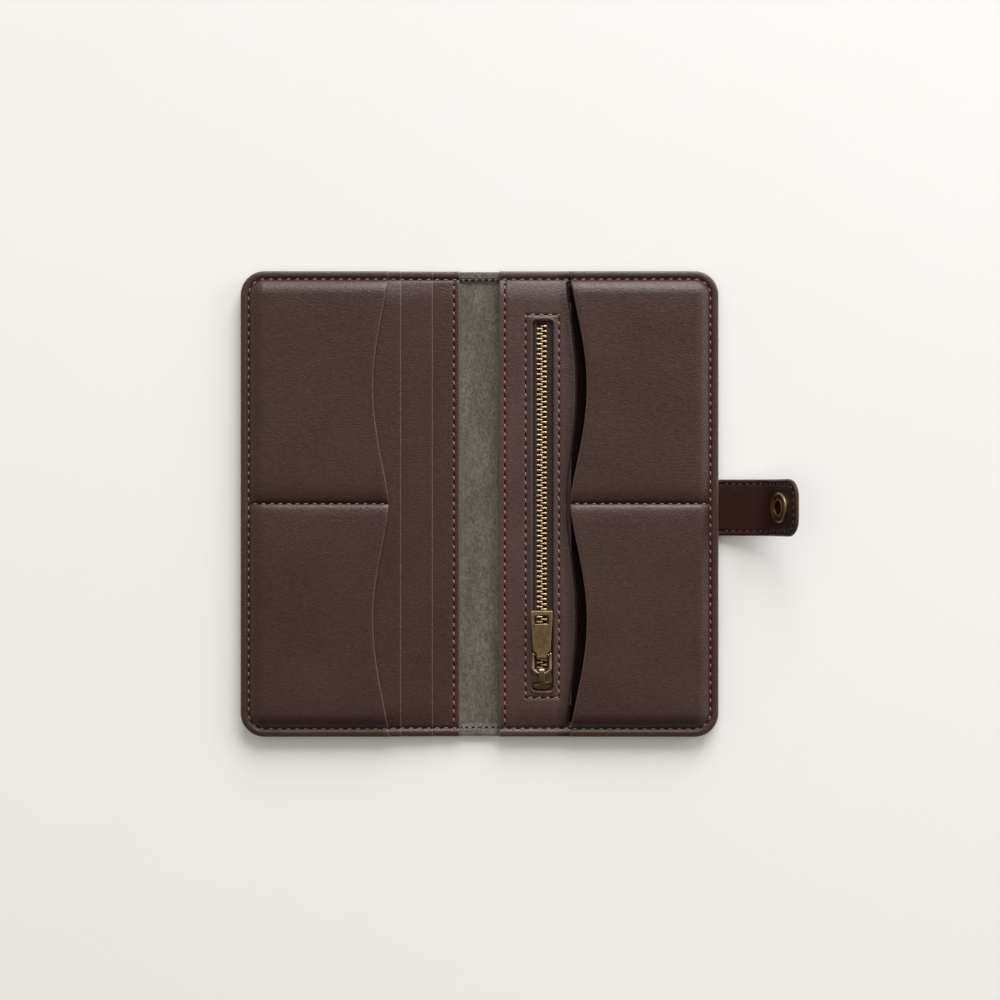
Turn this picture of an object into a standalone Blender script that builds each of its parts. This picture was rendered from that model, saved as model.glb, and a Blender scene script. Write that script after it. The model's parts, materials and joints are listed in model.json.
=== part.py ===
"""Long wallet, lying open: a card half, a spine, a half with a zipped coin pocket, and a snap strap.

Run with: blender --background --python part.py
Blender works in metres; every dimension below is in millimetres and goes through MM.
X runs across the open wallet (card half at -X, zipped half at +X), Y along it, +Z up.
The origin is the centre of the spine's underside, on the surface that the wallet lies on.
"""

import math

import bmesh
import bpy
from mathutils import Vector

MM = 0.001

# Overall size of the open wallet
LENGTH = 190.0  # along Y
EDGE_X = 97.5  # outer edge of each half, from the spine's middle
CORNER_R = 9.8
SPINE_HALF = 8.0  # the fold lines are at X = -8 and X = +8
FOLD_Z = 2.0  # height of both fold axes: closed, the wallet is 2 x 8 + 2 x 2 = 20 thick
GAP = 0.3  # clearance between neighbouring sheets
LEAN_GAP = 0.15  # half of the clearance at a fold line

# Heights of the layers, bottom and top
COVER_Z = (0.0, 1.0)
PADDING_Z = (1.3, 2.3)
BOARD_Z = (2.6, 3.1)
LINING_Z = (3.4, 3.7)
SPINE_LINING_Z = (1.3, 1.9)
CARD_BASE_Z = (4.4, 4.9)
CARD_TIER_3_Z = (5.7, 6.2)
CARD_TIER_2_Z = (7.0, 7.5)
COIN_BACK_Z = (4.5, 4.8)
TAPE_Z = (6.4, 6.7)
TEETH_Z = (5.85, 7.25)
ZIP_PANEL_Z = (7.0, 7.5)
FRONT_Z = (8.3, 8.9)  # the front pocket of either half

# The rim: a filler strip closes the pockets' sides, and a seam runs all round
FILLER_WIDTH = 4.2
INSET = FILLER_WIDTH + GAP  # how far inner layers stay inside the outline
SEAM_INSET = 3.3
THREAD_R = 0.2
TUCK = 3.8  # how far a panel runs, at full width, under the next one

# Distances of the panels' free edges from the spine's middle
BASE_EDGE = 8.2
CARD_TIER_3_EDGE = 19.0
CARD_TIER_2_EDGE = 31.9
FRONT_EDGE = 36.9
CARD_SCOOP = 6.6  # depth of a scooped mouth
COIN_SCOOP = 6.9
BODY_END = EDGE_X - INSET

# Zip: the slot in its panel, and the chain
SLOT_X = (21.6, 30.0)
SLOT_Y = (-76.0, 74.7)
CHAIN_X = 25.3
CHAIN_HALF = 2.2
TOOTH_PITCH = 2.06
TOOTH_LENGTH = 1.1  # along Y
TOOTH_TIP = 0.6  # the teeth stop this far from the middle, so that the slider's neck can pass
CORD_WIDTH = 0.7
TAPE_WIDTH = 6.0
TAPE_END = 84.0
ZIP_SEAM_X = (18.8, 32.3)
ZIP_SEAM_Y = (-78.9, 77.1)

# Slider and pull, at the slider's lowest position
SLIDER_Y = (-75.5, -65.5)
SLIDER_WIDTH = 8.7
SLIDER_NOSE = 6.2  # width at the closed end
LOWER_PLATE_Z = (5.1, 5.55)
UPPER_PLATE_Z = (7.8, 8.4)
BRIDGE_Y = (-73.5, -66.4)
BRIDGE_TOP = 11.0
BRIDGE_WIDTH = 2.7
BRIDGE_WALL = 0.9
LINK_R = 0.65
LINK_Y = (-68.8, -61.4)  # the wire's two cross bars: in the bridge and in the tab
LINK_Z = 9.3
LINK_HALF = 3.5
TAB_END = -43.4
TAB_THICK = 1.1
BARREL_R = 1.5
BARREL_BORE = 0.95

# Strap
STRAP_Y = -1.5
STRAP_WIDTH = 23.0
STRAP_SEAM_INSET = 1.9
STRAP_LAYER = 0.8
STRAP_THICK = 1.8  # two layers with a small gap
STRAP_HINGE_X = 98.8
STRAP_HINGE_Z = 2.2
STRAP_ROOT_X = 93.3
STRAP_MIDDLE = 19.0  # hinge to hinge, enough to climb the closed wallet's edge
STRAP_TIP = 25.0
STRAP_TILT = 18.0  # degrees, the middle's rest tilt
STRAP_TIP_TILT = 50.0  # degrees, the tip's rest tilt from the middle
SNAP_AT = 12.5  # from the second hinge to the snap's centre

# Press stud
SNAP_R = 6.1
SOCKET_HOLE_R = 2.7
SOCKET_THICK = 1.3
STUD_X = SNAP_AT - STRAP_HINGE_X  # meets the socket when the wallet is closed
STUD_POST_R = 2.3
STUD_FLANGE_R = 5.25
STUD_FLANGE_Z = (1.35, 1.75)
RIVET_R = 1.6
RIVET_END = 0.9  # the eyelet's tube reaches down to here
CUP_INNER_R = 6.4
CUP_OUTER_R = 6.85
CUP_TOP = 2.4

PARTS = "long_wallet"
CUTTERS = "long_wallet_cutters"


# ---------------------------------------------------------------- scene and materials


def clear_scene():
    for obj in list(bpy.data.objects):
        bpy.data.objects.remove(obj)


def collection(name, hidden=False):
    made = bpy.data.collections.new(name)
    made.hide_render = hidden
    bpy.context.scene.collection.children.link(made)
    return made


def material(name, colour, roughness, metallic=0.0):
    made = bpy.data.materials.new(name)
    made.use_nodes = True
    shader = made.node_tree.nodes["Principled BSDF"]
    shader.inputs["Base Color"].default_value = (*colour, 1.0)
    shader.inputs["Roughness"].default_value = roughness
    shader.inputs["Metallic"].default_value = metallic
    made.diffuse_color = (*colour, 1.0)
    return made


def materials():
    return {
        "leather": material("dark_brown_leather", (0.070, 0.036, 0.026), 0.42),
        "zip_leather": material("zip_panel_leather", (0.100, 0.060, 0.050), 0.45),
        "suede": material("grey_brown_suede", (0.140, 0.115, 0.090), 0.90),
        "lining": material("brown_lining", (0.080, 0.060, 0.048), 0.85),
        "tape": material("zipper_tape", (0.055, 0.033, 0.026), 0.80),
        "thread": material("burgundy_thread", (0.110, 0.045, 0.040), 0.70),
        "brass": material("antique_brass", (0.330, 0.210, 0.085), 0.38, 1.0),
        "board": material("stiffener_board", (0.450, 0.400, 0.320), 0.90),
        "foam": material("padding_foam", (0.600, 0.580, 0.520), 0.95),
    }


# ---------------------------------------------------------------- outlines, in millimetres


def rounded(corners, steps=6):
    """A closed outline through (x, y, radius) corners, each rounded by an arc."""
    points = []
    for i, (x, y, radius) in enumerate(corners):
        here = Vector((x, y))
        if radius == 0:
            points.append(here)
            continue
        before = (Vector(corners[i - 1][:2]) - here).normalized()
        after = (Vector(corners[(i + 1) % len(corners)][:2]) - here).normalized()
        half = before.angle(after) / 2
        centre = here + (before + after).normalized() * radius / math.sin(half)
        first = here + before * radius / math.tan(half) - centre
        turn = first.angle_signed(here + after * radius / math.tan(half) - centre)
        for step in range(steps + 1):
            a = -turn * step / steps
            spun = Vector(
                (
                    first.x * math.cos(a) - first.y * math.sin(a),
                    first.x * math.sin(a) + first.y * math.cos(a),
                )
            )
            points.append(centre + spun)
    return points


def circle(radius, x=0.0, y=0.0, count=24):
    turn = 2 * math.pi / count
    return [
        Vector((x + radius * math.cos(i * turn), y + radius * math.sin(i * turn)))
        for i in range(count)
    ]


def wound(loop, anticlockwise):
    """The loop in the given direction: an outline runs anticlockwise, a hole clockwise."""
    area = sum(a.x * b.y - b.x * a.y for a, b in zip(loop, loop[1:] + loop[:1]))
    return loop if (area > 0) == anticlockwise else loop[::-1]


def half_outline(side, inner, inset=0.0):
    """One half of the wallet: square at the spine, round at the outer corners."""
    far = side * (EDGE_X - inset)
    top = LENGTH / 2 - inset
    near = side * inner
    radius = max(CORNER_R - inset, 2.0)
    return rounded([(near, -top, 0), (far, -top, radius), (far, top, radius), (near, top, 0)])


def filler_outline(side):
    """A U along the three outer sides of a half."""
    near = side * BASE_EDGE
    far, top = side * EDGE_X, LENGTH / 2
    in_far, in_top = side * (EDGE_X - FILLER_WIDTH), top - FILLER_WIDTH
    in_radius = CORNER_R - FILLER_WIDTH
    return rounded(
        [
            (near, -top, 0),
            (far, -top, CORNER_R),
            (far, top, CORNER_R),
            (near, top, 0),
            (near, in_top, 0),
            (in_far, in_top, in_radius),
            (in_far, -in_top, in_radius),
            (near, -in_top, 0),
        ]
    )


def tier_outline(side, edge, bar_end):
    """A T-shaped panel: full width where it shows, narrower behind the next panel."""
    top, in_top = LENGTH / 2, LENGTH / 2 - INSET
    return rounded(
        [
            (side * edge, -top, 0),
            (side * bar_end, -top, 0),
            (side * bar_end, -in_top, 0),
            (side * BODY_END, -in_top, CORNER_R - INSET),
            (side * BODY_END, in_top, CORNER_R - INSET),
            (side * bar_end, in_top, 0),
            (side * bar_end, top, 0),
            (side * edge, top, 0),
        ]
    )


def scoops(side, depth, count=2, steps=12):
    """The mouth edge of a front pocket: equal shallow scoops, one above another."""
    points = []
    width = LENGTH / count
    for scoop in range(count):
        low = -LENGTH / 2 + scoop * width
        for step in range(1 if scoop else 0, steps + 1):
            along = step / steps
            dip = depth * (1 - (2 * along - 1) ** 2) ** 0.8
            points.append(Vector((side * (FRONT_EDGE + dip), low + along * width)))
    return points


def front_pocket_outline(side, depth):
    far, top = side * EDGE_X, LENGTH / 2
    corners = rounded([(far, top, CORNER_R), (far, -top, CORNER_R), (0, -top, 0), (0, top, 0)])
    rim = [p for p in corners if p.x * side > FRONT_EDGE]
    return scoops(side, depth) + rim


# ---------------------------------------------------------------- solids


def place(obj, surface, into=PARTS):
    """Files the object in its collection, with its material."""
    bpy.data.collections[into].objects.link(obj)
    obj.data.materials.append(surface)
    return obj


def sheet(name, surface, heights, outline, holes=(), into=PARTS):
    """A flat piece: a filled outline, with holes, extruded between two heights."""
    data = bpy.data.curves.new(name, "CURVE")
    data.dimensions = "2D"
    data.fill_mode = "BOTH"
    data.extrude = (heights[1] - heights[0]) / 2 * MM
    for loop in (wound(outline, True), *(wound(hole, False) for hole in holes)):
        spline = data.splines.new("POLY")
        spline.points.add(len(loop) - 1)
        for point, (x, y) in zip(spline.points, loop):
            point.co = (x * MM, y * MM, 0, 1)
        spline.use_cyclic_u = True
    obj = bpy.data.objects.new(name, data)
    obj.location.z = (heights[0] + heights[1]) / 2 * MM
    return place(obj, surface, into)


def profile_along_x(name, surface, outline, middle, width, holes=(), into=PARTS):
    """A piece whose outline is in the YZ plane, extruded along X about its middle."""
    obj = sheet(name, surface, (-width / 2, width / 2), outline, holes, into)
    obj.rotation_euler = (math.pi / 2, 0, math.pi / 2)
    obj.location = (middle * MM, 0, 0)
    return obj


def thread(name, surface, points, radius=THREAD_R, cyclic=False):
    """A round wire or thread along points."""
    data = bpy.data.curves.new(name, "CURVE")
    data.dimensions = "3D"
    data.bevel_depth = radius * MM
    data.bevel_resolution = 2 if cyclic else 1
    data.use_fill_caps = True
    spline = data.splines.new("POLY")
    spline.points.add(len(points) - 1)
    for point, place_mm in zip(spline.points, points):
        point.co = (*(Vector(place_mm) * MM), 1)
    spline.use_cyclic_u = cyclic
    return place(bpy.data.objects.new(name, data), surface)


def as_mesh(obj):
    """Turns a curve object into a closed mesh object, so that a Boolean can use it."""
    bpy.context.view_layer.update()
    graph = bpy.context.evaluated_depsgraph_get()
    mesh = bpy.data.meshes.new_from_object(obj.evaluated_get(graph))
    work = bmesh.new()
    work.from_mesh(mesh)
    bmesh.ops.remove_doubles(work, verts=work.verts, dist=1e-6)
    work.to_mesh(mesh)
    work.free()
    name, home = obj.name, obj.users_collection[0]
    made = bpy.data.objects.new(name, mesh)
    made.matrix_world = obj.matrix_world
    bpy.data.objects.remove(obj)
    made.name = name
    home.objects.link(made)
    return made


def block(name, low, high):
    """A box between two corners, as a cutter."""
    mesh = bpy.data.meshes.new(name)
    work = bmesh.new()
    bmesh.ops.create_cube(work, size=1.0)
    low, high = Vector(low) * MM, Vector(high) * MM
    for vertex in work.verts:
        for axis in range(3):
            vertex.co[axis] = low[axis] + (vertex.co[axis] + 0.5) * (high[axis] - low[axis])
    work.to_mesh(mesh)
    work.free()
    obj = bpy.data.objects.new(name, mesh)
    bpy.data.collections[CUTTERS].objects.link(obj)
    return obj


def peg(name, radius, heights, x, y, count=32):
    """An upright cylinder, as a cutter."""
    mesh = bpy.data.meshes.new(name)
    work = bmesh.new()
    depth = (heights[1] - heights[0]) * MM
    bmesh.ops.create_cone(
        work, cap_ends=True, segments=count, radius1=radius * MM, radius2=radius * MM, depth=depth
    )
    work.to_mesh(mesh)
    work.free()
    obj = bpy.data.objects.new(name, mesh)
    obj.location = Vector((x, y, (heights[0] + heights[1]) / 2)) * MM
    bpy.data.collections[CUTTERS].objects.link(obj)
    return obj


def combine(target, other, operation):
    """Adds a Boolean to target; other stays in the file as a hidden helper."""
    for home in other.users_collection:
        home.objects.unlink(other)
    bpy.data.collections[CUTTERS].objects.link(other)
    other.hide_render = True
    other.display_type = "WIRE"
    modifier = target.modifiers.new(f"{operation.lower()}_{other.name}", "BOOLEAN")
    modifier.operation = operation
    modifier.solver = "EXACT"
    modifier.object = other


def turned(name, surface, profile, steps=32, into=PARTS):
    """A turned piece: (radius, height) points down its outer side and back up the inner one."""
    mesh = bpy.data.meshes.new(name)
    work = bmesh.new()
    ring = [work.verts.new((radius * MM, 0, height * MM)) for radius, height in profile]
    for here, there in zip(ring, ring[1:]):
        work.edges.new((here, there))
    if profile[0][0] > 0:
        work.edges.new((ring[-1], ring[0]))
    work.to_mesh(mesh)
    work.free()
    obj = place(bpy.data.objects.new(name, mesh), surface, into)
    screw = obj.modifiers.new("turn", "SCREW")
    screw.steps = steps
    screw.render_steps = steps
    screw.use_merge_vertices = True
    screw.merge_threshold = 1e-5
    screw.use_smooth_shade = True
    return obj


def hinge(name, place_mm, axis_y_degrees=0.0, parent=None):
    """An empty on a joint's axis, tilted about Y; the pieces that turn with it are its children."""
    empty = bpy.data.objects.new(name, None)
    empty.empty_display_size = 5 * MM
    empty.location = Vector(place_mm) * MM
    empty.rotation_euler.y = math.radians(axis_y_degrees)
    empty.parent = parent
    bpy.data.collections[PARTS].objects.link(empty)
    return empty


def hang(pieces, empty):
    """Parents pieces drawn around the origin to a hinge."""
    for piece in pieces:
        piece.parent = empty


def hang_in_place(pieces, empty):
    """Parents pieces already drawn where they belong to a hinge that isn't tilted."""
    for piece in pieces:
        piece.parent = empty
        piece.location -= empty.location


# ---------------------------------------------------------------- parts shared by both halves


def half_core(side, word, mats, cover_holes=(), board_holes=()):
    """Cover, padding and board of one half, and the outline that the inner layers share."""
    outline = half_outline(side, SPINE_HALF + LEAN_GAP)
    core = half_outline(side, SPINE_HALF + 2.0, INSET)
    cover = sheet(f"{word}_cover", mats["leather"], COVER_Z, outline, cover_holes)
    padding = sheet(f"{word}_padding", mats["foam"], PADDING_Z, core)
    sheet(f"{word}_board", mats["board"], BOARD_Z, core, board_holes)
    return cover, padding, core


def stepped_filler(side, word, mats, steps):
    """The rim filler, cut down in steps towards the spine; steps are (distance, top) pairs."""
    heights = (COVER_Z[1] + GAP, FRONT_Z[0] - GAP)
    outline = filler_outline(side)
    filler = as_mesh(sheet(f"{word}_rim_filler", mats["leather"], heights, outline))
    for i, (distance, top) in enumerate(steps):
        ends = sorted((side * (BASE_EDGE - 1), side * distance))
        low = (ends[0], -LENGTH, top)
        high = (ends[1], LENGTH, FRONT_Z[0])
        combine(filler, block(f"{word}_filler_step_{i}", low, high), "DIFFERENCE")
    return filler


def edge_thread(side, word, mats, steps):
    """The seam along a half's rim, climbing over each panel; steps are (distance, height) pairs."""
    line = LENGTH / 2 - SEAM_INSET
    far = EDGE_X - SEAM_INSET
    radius = CORNER_R - SEAM_INSET
    heights = [top + GAP / 2 + THREAD_R for _, top in steps]
    climb = []
    for i, (distance, _) in enumerate(steps):
        start = distance + GAP if i == 0 else distance - 0.5
        if i:
            climb.append((start, heights[i - 1]))
        climb.append((start, heights[i]))
    corners = rounded([(far, line, radius), (far, -line, radius), (0, -line, 0), (0, line, 0)])
    turn = [p for p in corners if p.x > steps[-1][0]]
    points = [(side * x, line, z) for x, z in climb]
    points += [(side * p.x, p.y, heights[-1]) for p in turn]
    points += [(side * x, -line, z) for x, z in reversed(climb)]
    return thread(f"{word}_edge_thread", mats["thread"], points)


# ---------------------------------------------------------------- card half


def card_half(mats):
    dimple_hole = circle((CUP_INNER_R + CUP_OUTER_R) / 2, STUD_X, STRAP_Y, 32)
    eyelet_hole = circle(SNAP_R - 0.8, STUD_X, STRAP_Y, 32)
    cover, padding, core = half_core(-1, "left", mats, [dimple_hole], [eyelet_hole])
    around_cup = peg("padding_hole", CUP_OUTER_R + GAP, (0, LINING_Z[0]), STUD_X, STRAP_Y)
    combine(as_mesh(padding), around_cup, "DIFFERENCE")
    left_cover = as_mesh(cover)
    cup = [
        (CUP_OUTER_R, CUP_TOP),
        (CUP_OUTER_R, COVER_Z[0] + 0.15),
        (CUP_INNER_R, COVER_Z[0] + 0.15),
        (CUP_INNER_R, CUP_TOP - 0.4),
        (RIVET_R + 0.2, CUP_TOP - 0.4),
        (RIVET_R + 0.2, CUP_TOP),
    ]
    dimple = turned("left_cover_dimple", mats["leather"], cup, into=CUTTERS)
    dimple.location = Vector((STUD_X, STRAP_Y, 0)) * MM
    combine(left_cover, dimple, "UNION")
    sheet("left_lining", mats["suede"], LINING_Z, core)

    tiers = (
        ("card_base_panel", BASE_EDGE, CARD_TIER_3_EDGE, CARD_BASE_Z),
        ("card_tier_3", CARD_TIER_3_EDGE, CARD_TIER_2_EDGE, CARD_TIER_3_Z),
        ("card_tier_2", CARD_TIER_2_EDGE, FRONT_EDGE, CARD_TIER_2_Z),
    )
    for name, edge, next_edge, heights in tiers:
        sheet(name, mats["leather"], heights, tier_outline(-1, edge, next_edge + TUCK))
    pocket = front_pocket_outline(-1, CARD_SCOOP)
    sheet("card_front_pocket", mats["leather"], FRONT_Z, pocket)

    stepped_filler(
        -1,
        "left",
        mats,
        [
            (FRONT_EDGE + TUCK + GAP, CARD_TIER_2_Z[0] - GAP),
            (CARD_TIER_2_EDGE + TUCK + GAP, CARD_TIER_3_Z[0] - GAP),
            (CARD_TIER_3_EDGE + TUCK + GAP, CARD_BASE_Z[0] - GAP),
        ],
    )
    edge_thread(
        -1,
        "left",
        mats,
        [
            (BASE_EDGE, CARD_BASE_Z[1]),
            (CARD_TIER_3_EDGE, CARD_TIER_3_Z[1]),
            (CARD_TIER_2_EDGE, CARD_TIER_2_Z[1]),
            (FRONT_EDGE, FRONT_Z[1]),
        ],
    )
    divider_z = FRONT_Z[1] + GAP / 2 + THREAD_R
    ends = (-(EDGE_X - SEAM_INSET - 1), -(FRONT_EDGE + 1))
    thread("card_divider_thread", mats["thread"], [(x, 0, divider_z) for x in ends])
    seam_x, seam_z = -(BASE_EDGE + 2.3), CARD_BASE_Z[1] + GAP / 2 + THREAD_R
    seam_top = LENGTH / 2 - SEAM_INSET - 1
    seam = [(seam_x, y, seam_z) for y in (-seam_top, seam_top)]
    thread("base_panel_thread", mats["thread"], seam)
    stud_and_eyelet(mats)


def stud_and_eyelet(mats):
    """The snap's male half, in a dimple of the cover so that the wallet lies flat."""
    head_r, bore_r = STUD_POST_R + 0.15, RIVET_R + 0.25
    bottom, bore_end = 0.05, 0.6
    stud = [
        (STUD_FLANGE_R, STUD_FLANGE_Z[1]),
        (STUD_FLANGE_R, STUD_FLANGE_Z[0]),
        (STUD_POST_R, STUD_FLANGE_Z[0]),
        (STUD_POST_R, RIVET_END),
        (head_r, bottom + 0.5),
        (head_r, bottom + 0.2),
        (STUD_POST_R - 0.3, bottom),
        (0, bottom),
        # a blind bore from the flange side holds the eyelet's tube
        (0, bore_end),
        (bore_r, bore_end),
        (bore_r, STUD_FLANGE_Z[1]),
    ]
    outer = turned("snap_stud", mats["brass"], stud, 32)
    outer.location = Vector((STUD_X, STRAP_Y, 0)) * MM
    plate_r, plate_bottom = SNAP_R - 1.2, BOARD_Z[0] + 0.1
    eyelet = [
        (0, BOARD_Z[1]),
        (plate_r, BOARD_Z[1]),
        (plate_r, plate_bottom),
        (RIVET_R, plate_bottom),
        (RIVET_R, RIVET_END),
        (0, RIVET_END),
    ]
    rivet = turned("snap_eyelet", mats["brass"], eyelet, 24)
    rivet.location = Vector((STUD_X, STRAP_Y, 0)) * MM


# ---------------------------------------------------------------- spine


def spine(mats):
    half = SPINE_HALF - LEAN_GAP
    top = LENGTH / 2
    outline = rounded([(-half, -top, 0), (half, -top, 0), (half, top, 0), (-half, top, 0)])
    pieces = [
        sheet("spine_cover", mats["leather"], COVER_Z, outline),
        sheet("spine_lining", mats["suede"], SPINE_LINING_Z, outline),
    ]
    hang_in_place(pieces, hinge("fold_at_right", (SPINE_HALF, 0, FOLD_Z)))


# ---------------------------------------------------------------- zipped half


def coin_half(mats):
    _, _, core = half_core(1, "right", mats)
    sheet("bill_lining", mats["suede"], LINING_Z, core)
    sheet("coin_pocket_back", mats["lining"], COIN_BACK_Z, core)
    slot = rounded([(x, y, 1.0) for x, y in corners_of(SLOT_X, SLOT_Y)], 3)
    panel = tier_outline(1, BASE_EDGE, FRONT_EDGE + TUCK)
    sheet("zip_panel", mats["zip_leather"], ZIP_PANEL_Z, panel, [slot])
    pocket = front_pocket_outline(1, COIN_SCOOP)
    sheet("coin_front_pocket", mats["leather"], FRONT_Z, pocket)

    steps = [(FRONT_EDGE + TUCK + GAP, ZIP_PANEL_Z[0] - GAP)]
    filler = stepped_filler(1, "right", mats, steps)
    reach = STRAP_WIDTH / 2 + GAP
    low = (STRAP_ROOT_X - GAP - 1, STRAP_Y - reach, 0)
    high = (EDGE_X + 1, STRAP_Y + reach, STRAP_HINGE_Z + STRAP_THICK / 2 + GAP)
    combine(filler, block("strap_root_notch", low, high), "DIFFERENCE")

    edge_thread(1, "right", mats, [(BASE_EDGE, ZIP_PANEL_Z[1]), (FRONT_EDGE, FRONT_Z[1])])
    divider_z = FRONT_Z[1] + GAP / 2 + THREAD_R
    ends = (FRONT_EDGE + 1, EDGE_X - SEAM_INSET - 1)
    thread("coin_divider_thread", mats["thread"], [(x, 0, divider_z) for x in ends])
    seam_z = ZIP_PANEL_Z[1] + GAP / 2 + THREAD_R
    seam_top = LENGTH / 2 - SEAM_INSET - 1
    seam = [(BASE_EDGE + 2.1, y, seam_z) for y in (-seam_top, seam_top)]
    thread("zip_panel_thread", mats["thread"], seam)
    box = [(x, y, seam_z) for x, y in corners_of(ZIP_SEAM_X, ZIP_SEAM_Y)]
    thread("zip_box_thread", mats["thread"], box, cyclic=True)


def corners_of(across, along):
    """The corners of a rectangle, anticlockwise."""
    (x0, x1), (y0, y1) = across, along
    return [(x0, y0), (x1, y0), (x1, y1), (x0, y1)]


def zipper(mats):
    """Tapes, teeth with their cords, and the stops at the chain's ends."""
    bottom, top = SLOT_Y[0] + GAP, SLOT_Y[1] - GAP
    count = int((top - bottom - TOOTH_LENGTH) / TOOTH_PITCH)
    for side, word in ((-1, "left"), (1, "right")):
        inner = CHAIN_X + side * (CHAIN_HALF + GAP)
        outer = CHAIN_X + side * (CHAIN_HALF + GAP + TAPE_WIDTH)
        tape = corners_of(sorted((inner, outer)), (-TAPE_END, TAPE_END))
        sheet(f"zipper_tape_{word}", mats["tape"], TAPE_Z, [Vector(p) for p in tape])

        back = CHAIN_X + side * CHAIN_HALF
        tip = CHAIN_X + side * TOOTH_TIP
        shift = TOOTH_PITCH / 2 if side > 0 else 0.0
        starts = [bottom + 0.3 + shift + tooth * TOOTH_PITCH for tooth in range(count)]
        teeth_row(f"zipper_teeth_{word}", mats["brass"], side, back, (bottom, top), starts)

        stop = corners_of(sorted((back, tip)), (SLOT_Y[0] - 2.6, SLOT_Y[0] - GAP))
        heights = (TEETH_Z[0], TAPE_Z[1])
        sheet(f"zipper_top_stop_{word}", mats["brass"], heights, [Vector(p) for p in stop])
    ends = (CHAIN_X - CHAIN_HALF, CHAIN_X + CHAIN_HALF)
    stop = corners_of(ends, (SLOT_Y[1] + GAP, SLOT_Y[1] + 3.2))
    sheet("zipper_bottom_stop", mats["brass"], (TEETH_Z[0], TAPE_Z[1]), [Vector(p) for p in stop])


def teeth_row(name, surface, side, back, ends, starts):
    """A cord with teeth on its inner side: a strip whose every second cell is drawn out."""
    ys = [ends[0]]
    for start in starts:
        ys += [start, start + TOOTH_LENGTH]
    ys.append(ends[1])
    work = bmesh.new()
    line = [work.verts.new((back * MM, y * MM, 0)) for y in ys]
    edges = [work.edges.new(pair) for pair in zip(line, line[1:])]
    for width, first, step in ((CORD_WIDTH, 0, 1), (CHAIN_HALF - CORD_WIDTH - TOOTH_TIP, 1, 2)):
        drawn = bmesh.ops.extrude_edge_only(work, edges=edges[first::step])["geom"]
        moved = [item for item in drawn if isinstance(item, bmesh.types.BMVert)]
        bmesh.ops.translate(work, verts=moved, vec=(-side * width * MM, 0, 0))
        edges = [item for item in drawn if isinstance(item, bmesh.types.BMEdge)]
        edges = [edge for edge in edges if all(v in moved for v in edge.verts)]
        edges.sort(key=lambda edge: edge.verts[0].co.y + edge.verts[1].co.y)
    bmesh.ops.recalc_face_normals(work, faces=work.faces)
    mesh = bpy.data.meshes.new(name)
    work.to_mesh(mesh)
    work.free()
    obj = place(bpy.data.objects.new(name, mesh), surface)
    obj.location.z = (TEETH_Z[0] + TEETH_Z[1]) / 2 * MM
    thick = obj.modifiers.new("thickness", "SOLIDIFY")
    thick.thickness = (TEETH_Z[1] - TEETH_Z[0]) * MM
    thick.offset = 0.0


def slider_plate(width, inset=0.0):
    """The slider's plan: wide round shoulders at the open end, narrower at the closed end."""
    half, nose = width / 2 - inset, SLIDER_NOSE / 2 - inset
    low, high = SLIDER_Y[0] + inset, SLIDER_Y[1] - inset
    return rounded(
        [
            (CHAIN_X - half, low, 2.4),
            (CHAIN_X + half, low, 2.4),
            (CHAIN_X + half, low + 4.2, 2.0),
            (CHAIN_X + nose, high, 1.4),
            (CHAIN_X - nose, high, 1.4),
            (CHAIN_X - half, low + 4.2, 2.0),
        ],
        4,
    )


def slider(mats):
    """One casting: two plates joined by a neck, side flanges, and the bridge for the pull."""
    brass = mats["brass"]
    body = as_mesh(sheet("slider_body", brass, UPPER_PLATE_Z, slider_plate(SLIDER_WIDTH)))
    lower_plan = slider_plate(SLIDER_WIDTH, 0.6)
    lower = sheet("slider_lower_plate", brass, LOWER_PLATE_Z, lower_plan, into=CUTTERS)
    neck_half = TOOTH_TIP - GAP
    bite = 0.1  # how far joined pieces run into each other
    neck_y = (SLIDER_Y[0] + 1.2, SLIDER_Y[0] + 5.0)
    neck = block(
        "slider_neck",
        (CHAIN_X - neck_half, neck_y[0], LOWER_PLATE_Z[0] + bite),
        (CHAIN_X + neck_half, neck_y[1], UPPER_PLATE_Z[1] - bite),
    )
    combine(body, as_mesh(lower), "UNION")
    combine(body, neck, "UNION")
    for side in (-1, 1):
        ends = sorted((CHAIN_X + side * 2.7, CHAIN_X + side * 3.3))
        low = (ends[0], SLIDER_Y[0] + 2.6, TAPE_Z[1] + GAP)
        high = (ends[1], SLIDER_Y[0] + 6.0, UPPER_PLATE_Z[0] + bite)
        combine(body, block(f"slider_flange_{side + 1}", low, high), "UNION")
    foot, wall = UPPER_PLATE_Z[1] - 2 * bite, BRIDGE_WALL
    y0, y1 = BRIDGE_Y
    arch = rounded(
        [
            (y0, foot, 0),
            (y0 + wall, foot, 0),
            (y0 + wall, BRIDGE_TOP - wall, 0.6),
            (y1 - wall, BRIDGE_TOP - wall, 0.6),
            (y1 - wall, foot, 0),
            (y1, foot, 0),
            (y1, BRIDGE_TOP, 1.2),
            (y0, BRIDGE_TOP, 1.2),
        ],
        3,
    )
    bridge = profile_along_x("slider_bridge", brass, arch, CHAIN_X, BRIDGE_WIDTH, into=CUTTERS)
    combine(body, as_mesh(bridge), "UNION")
    return body


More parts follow.
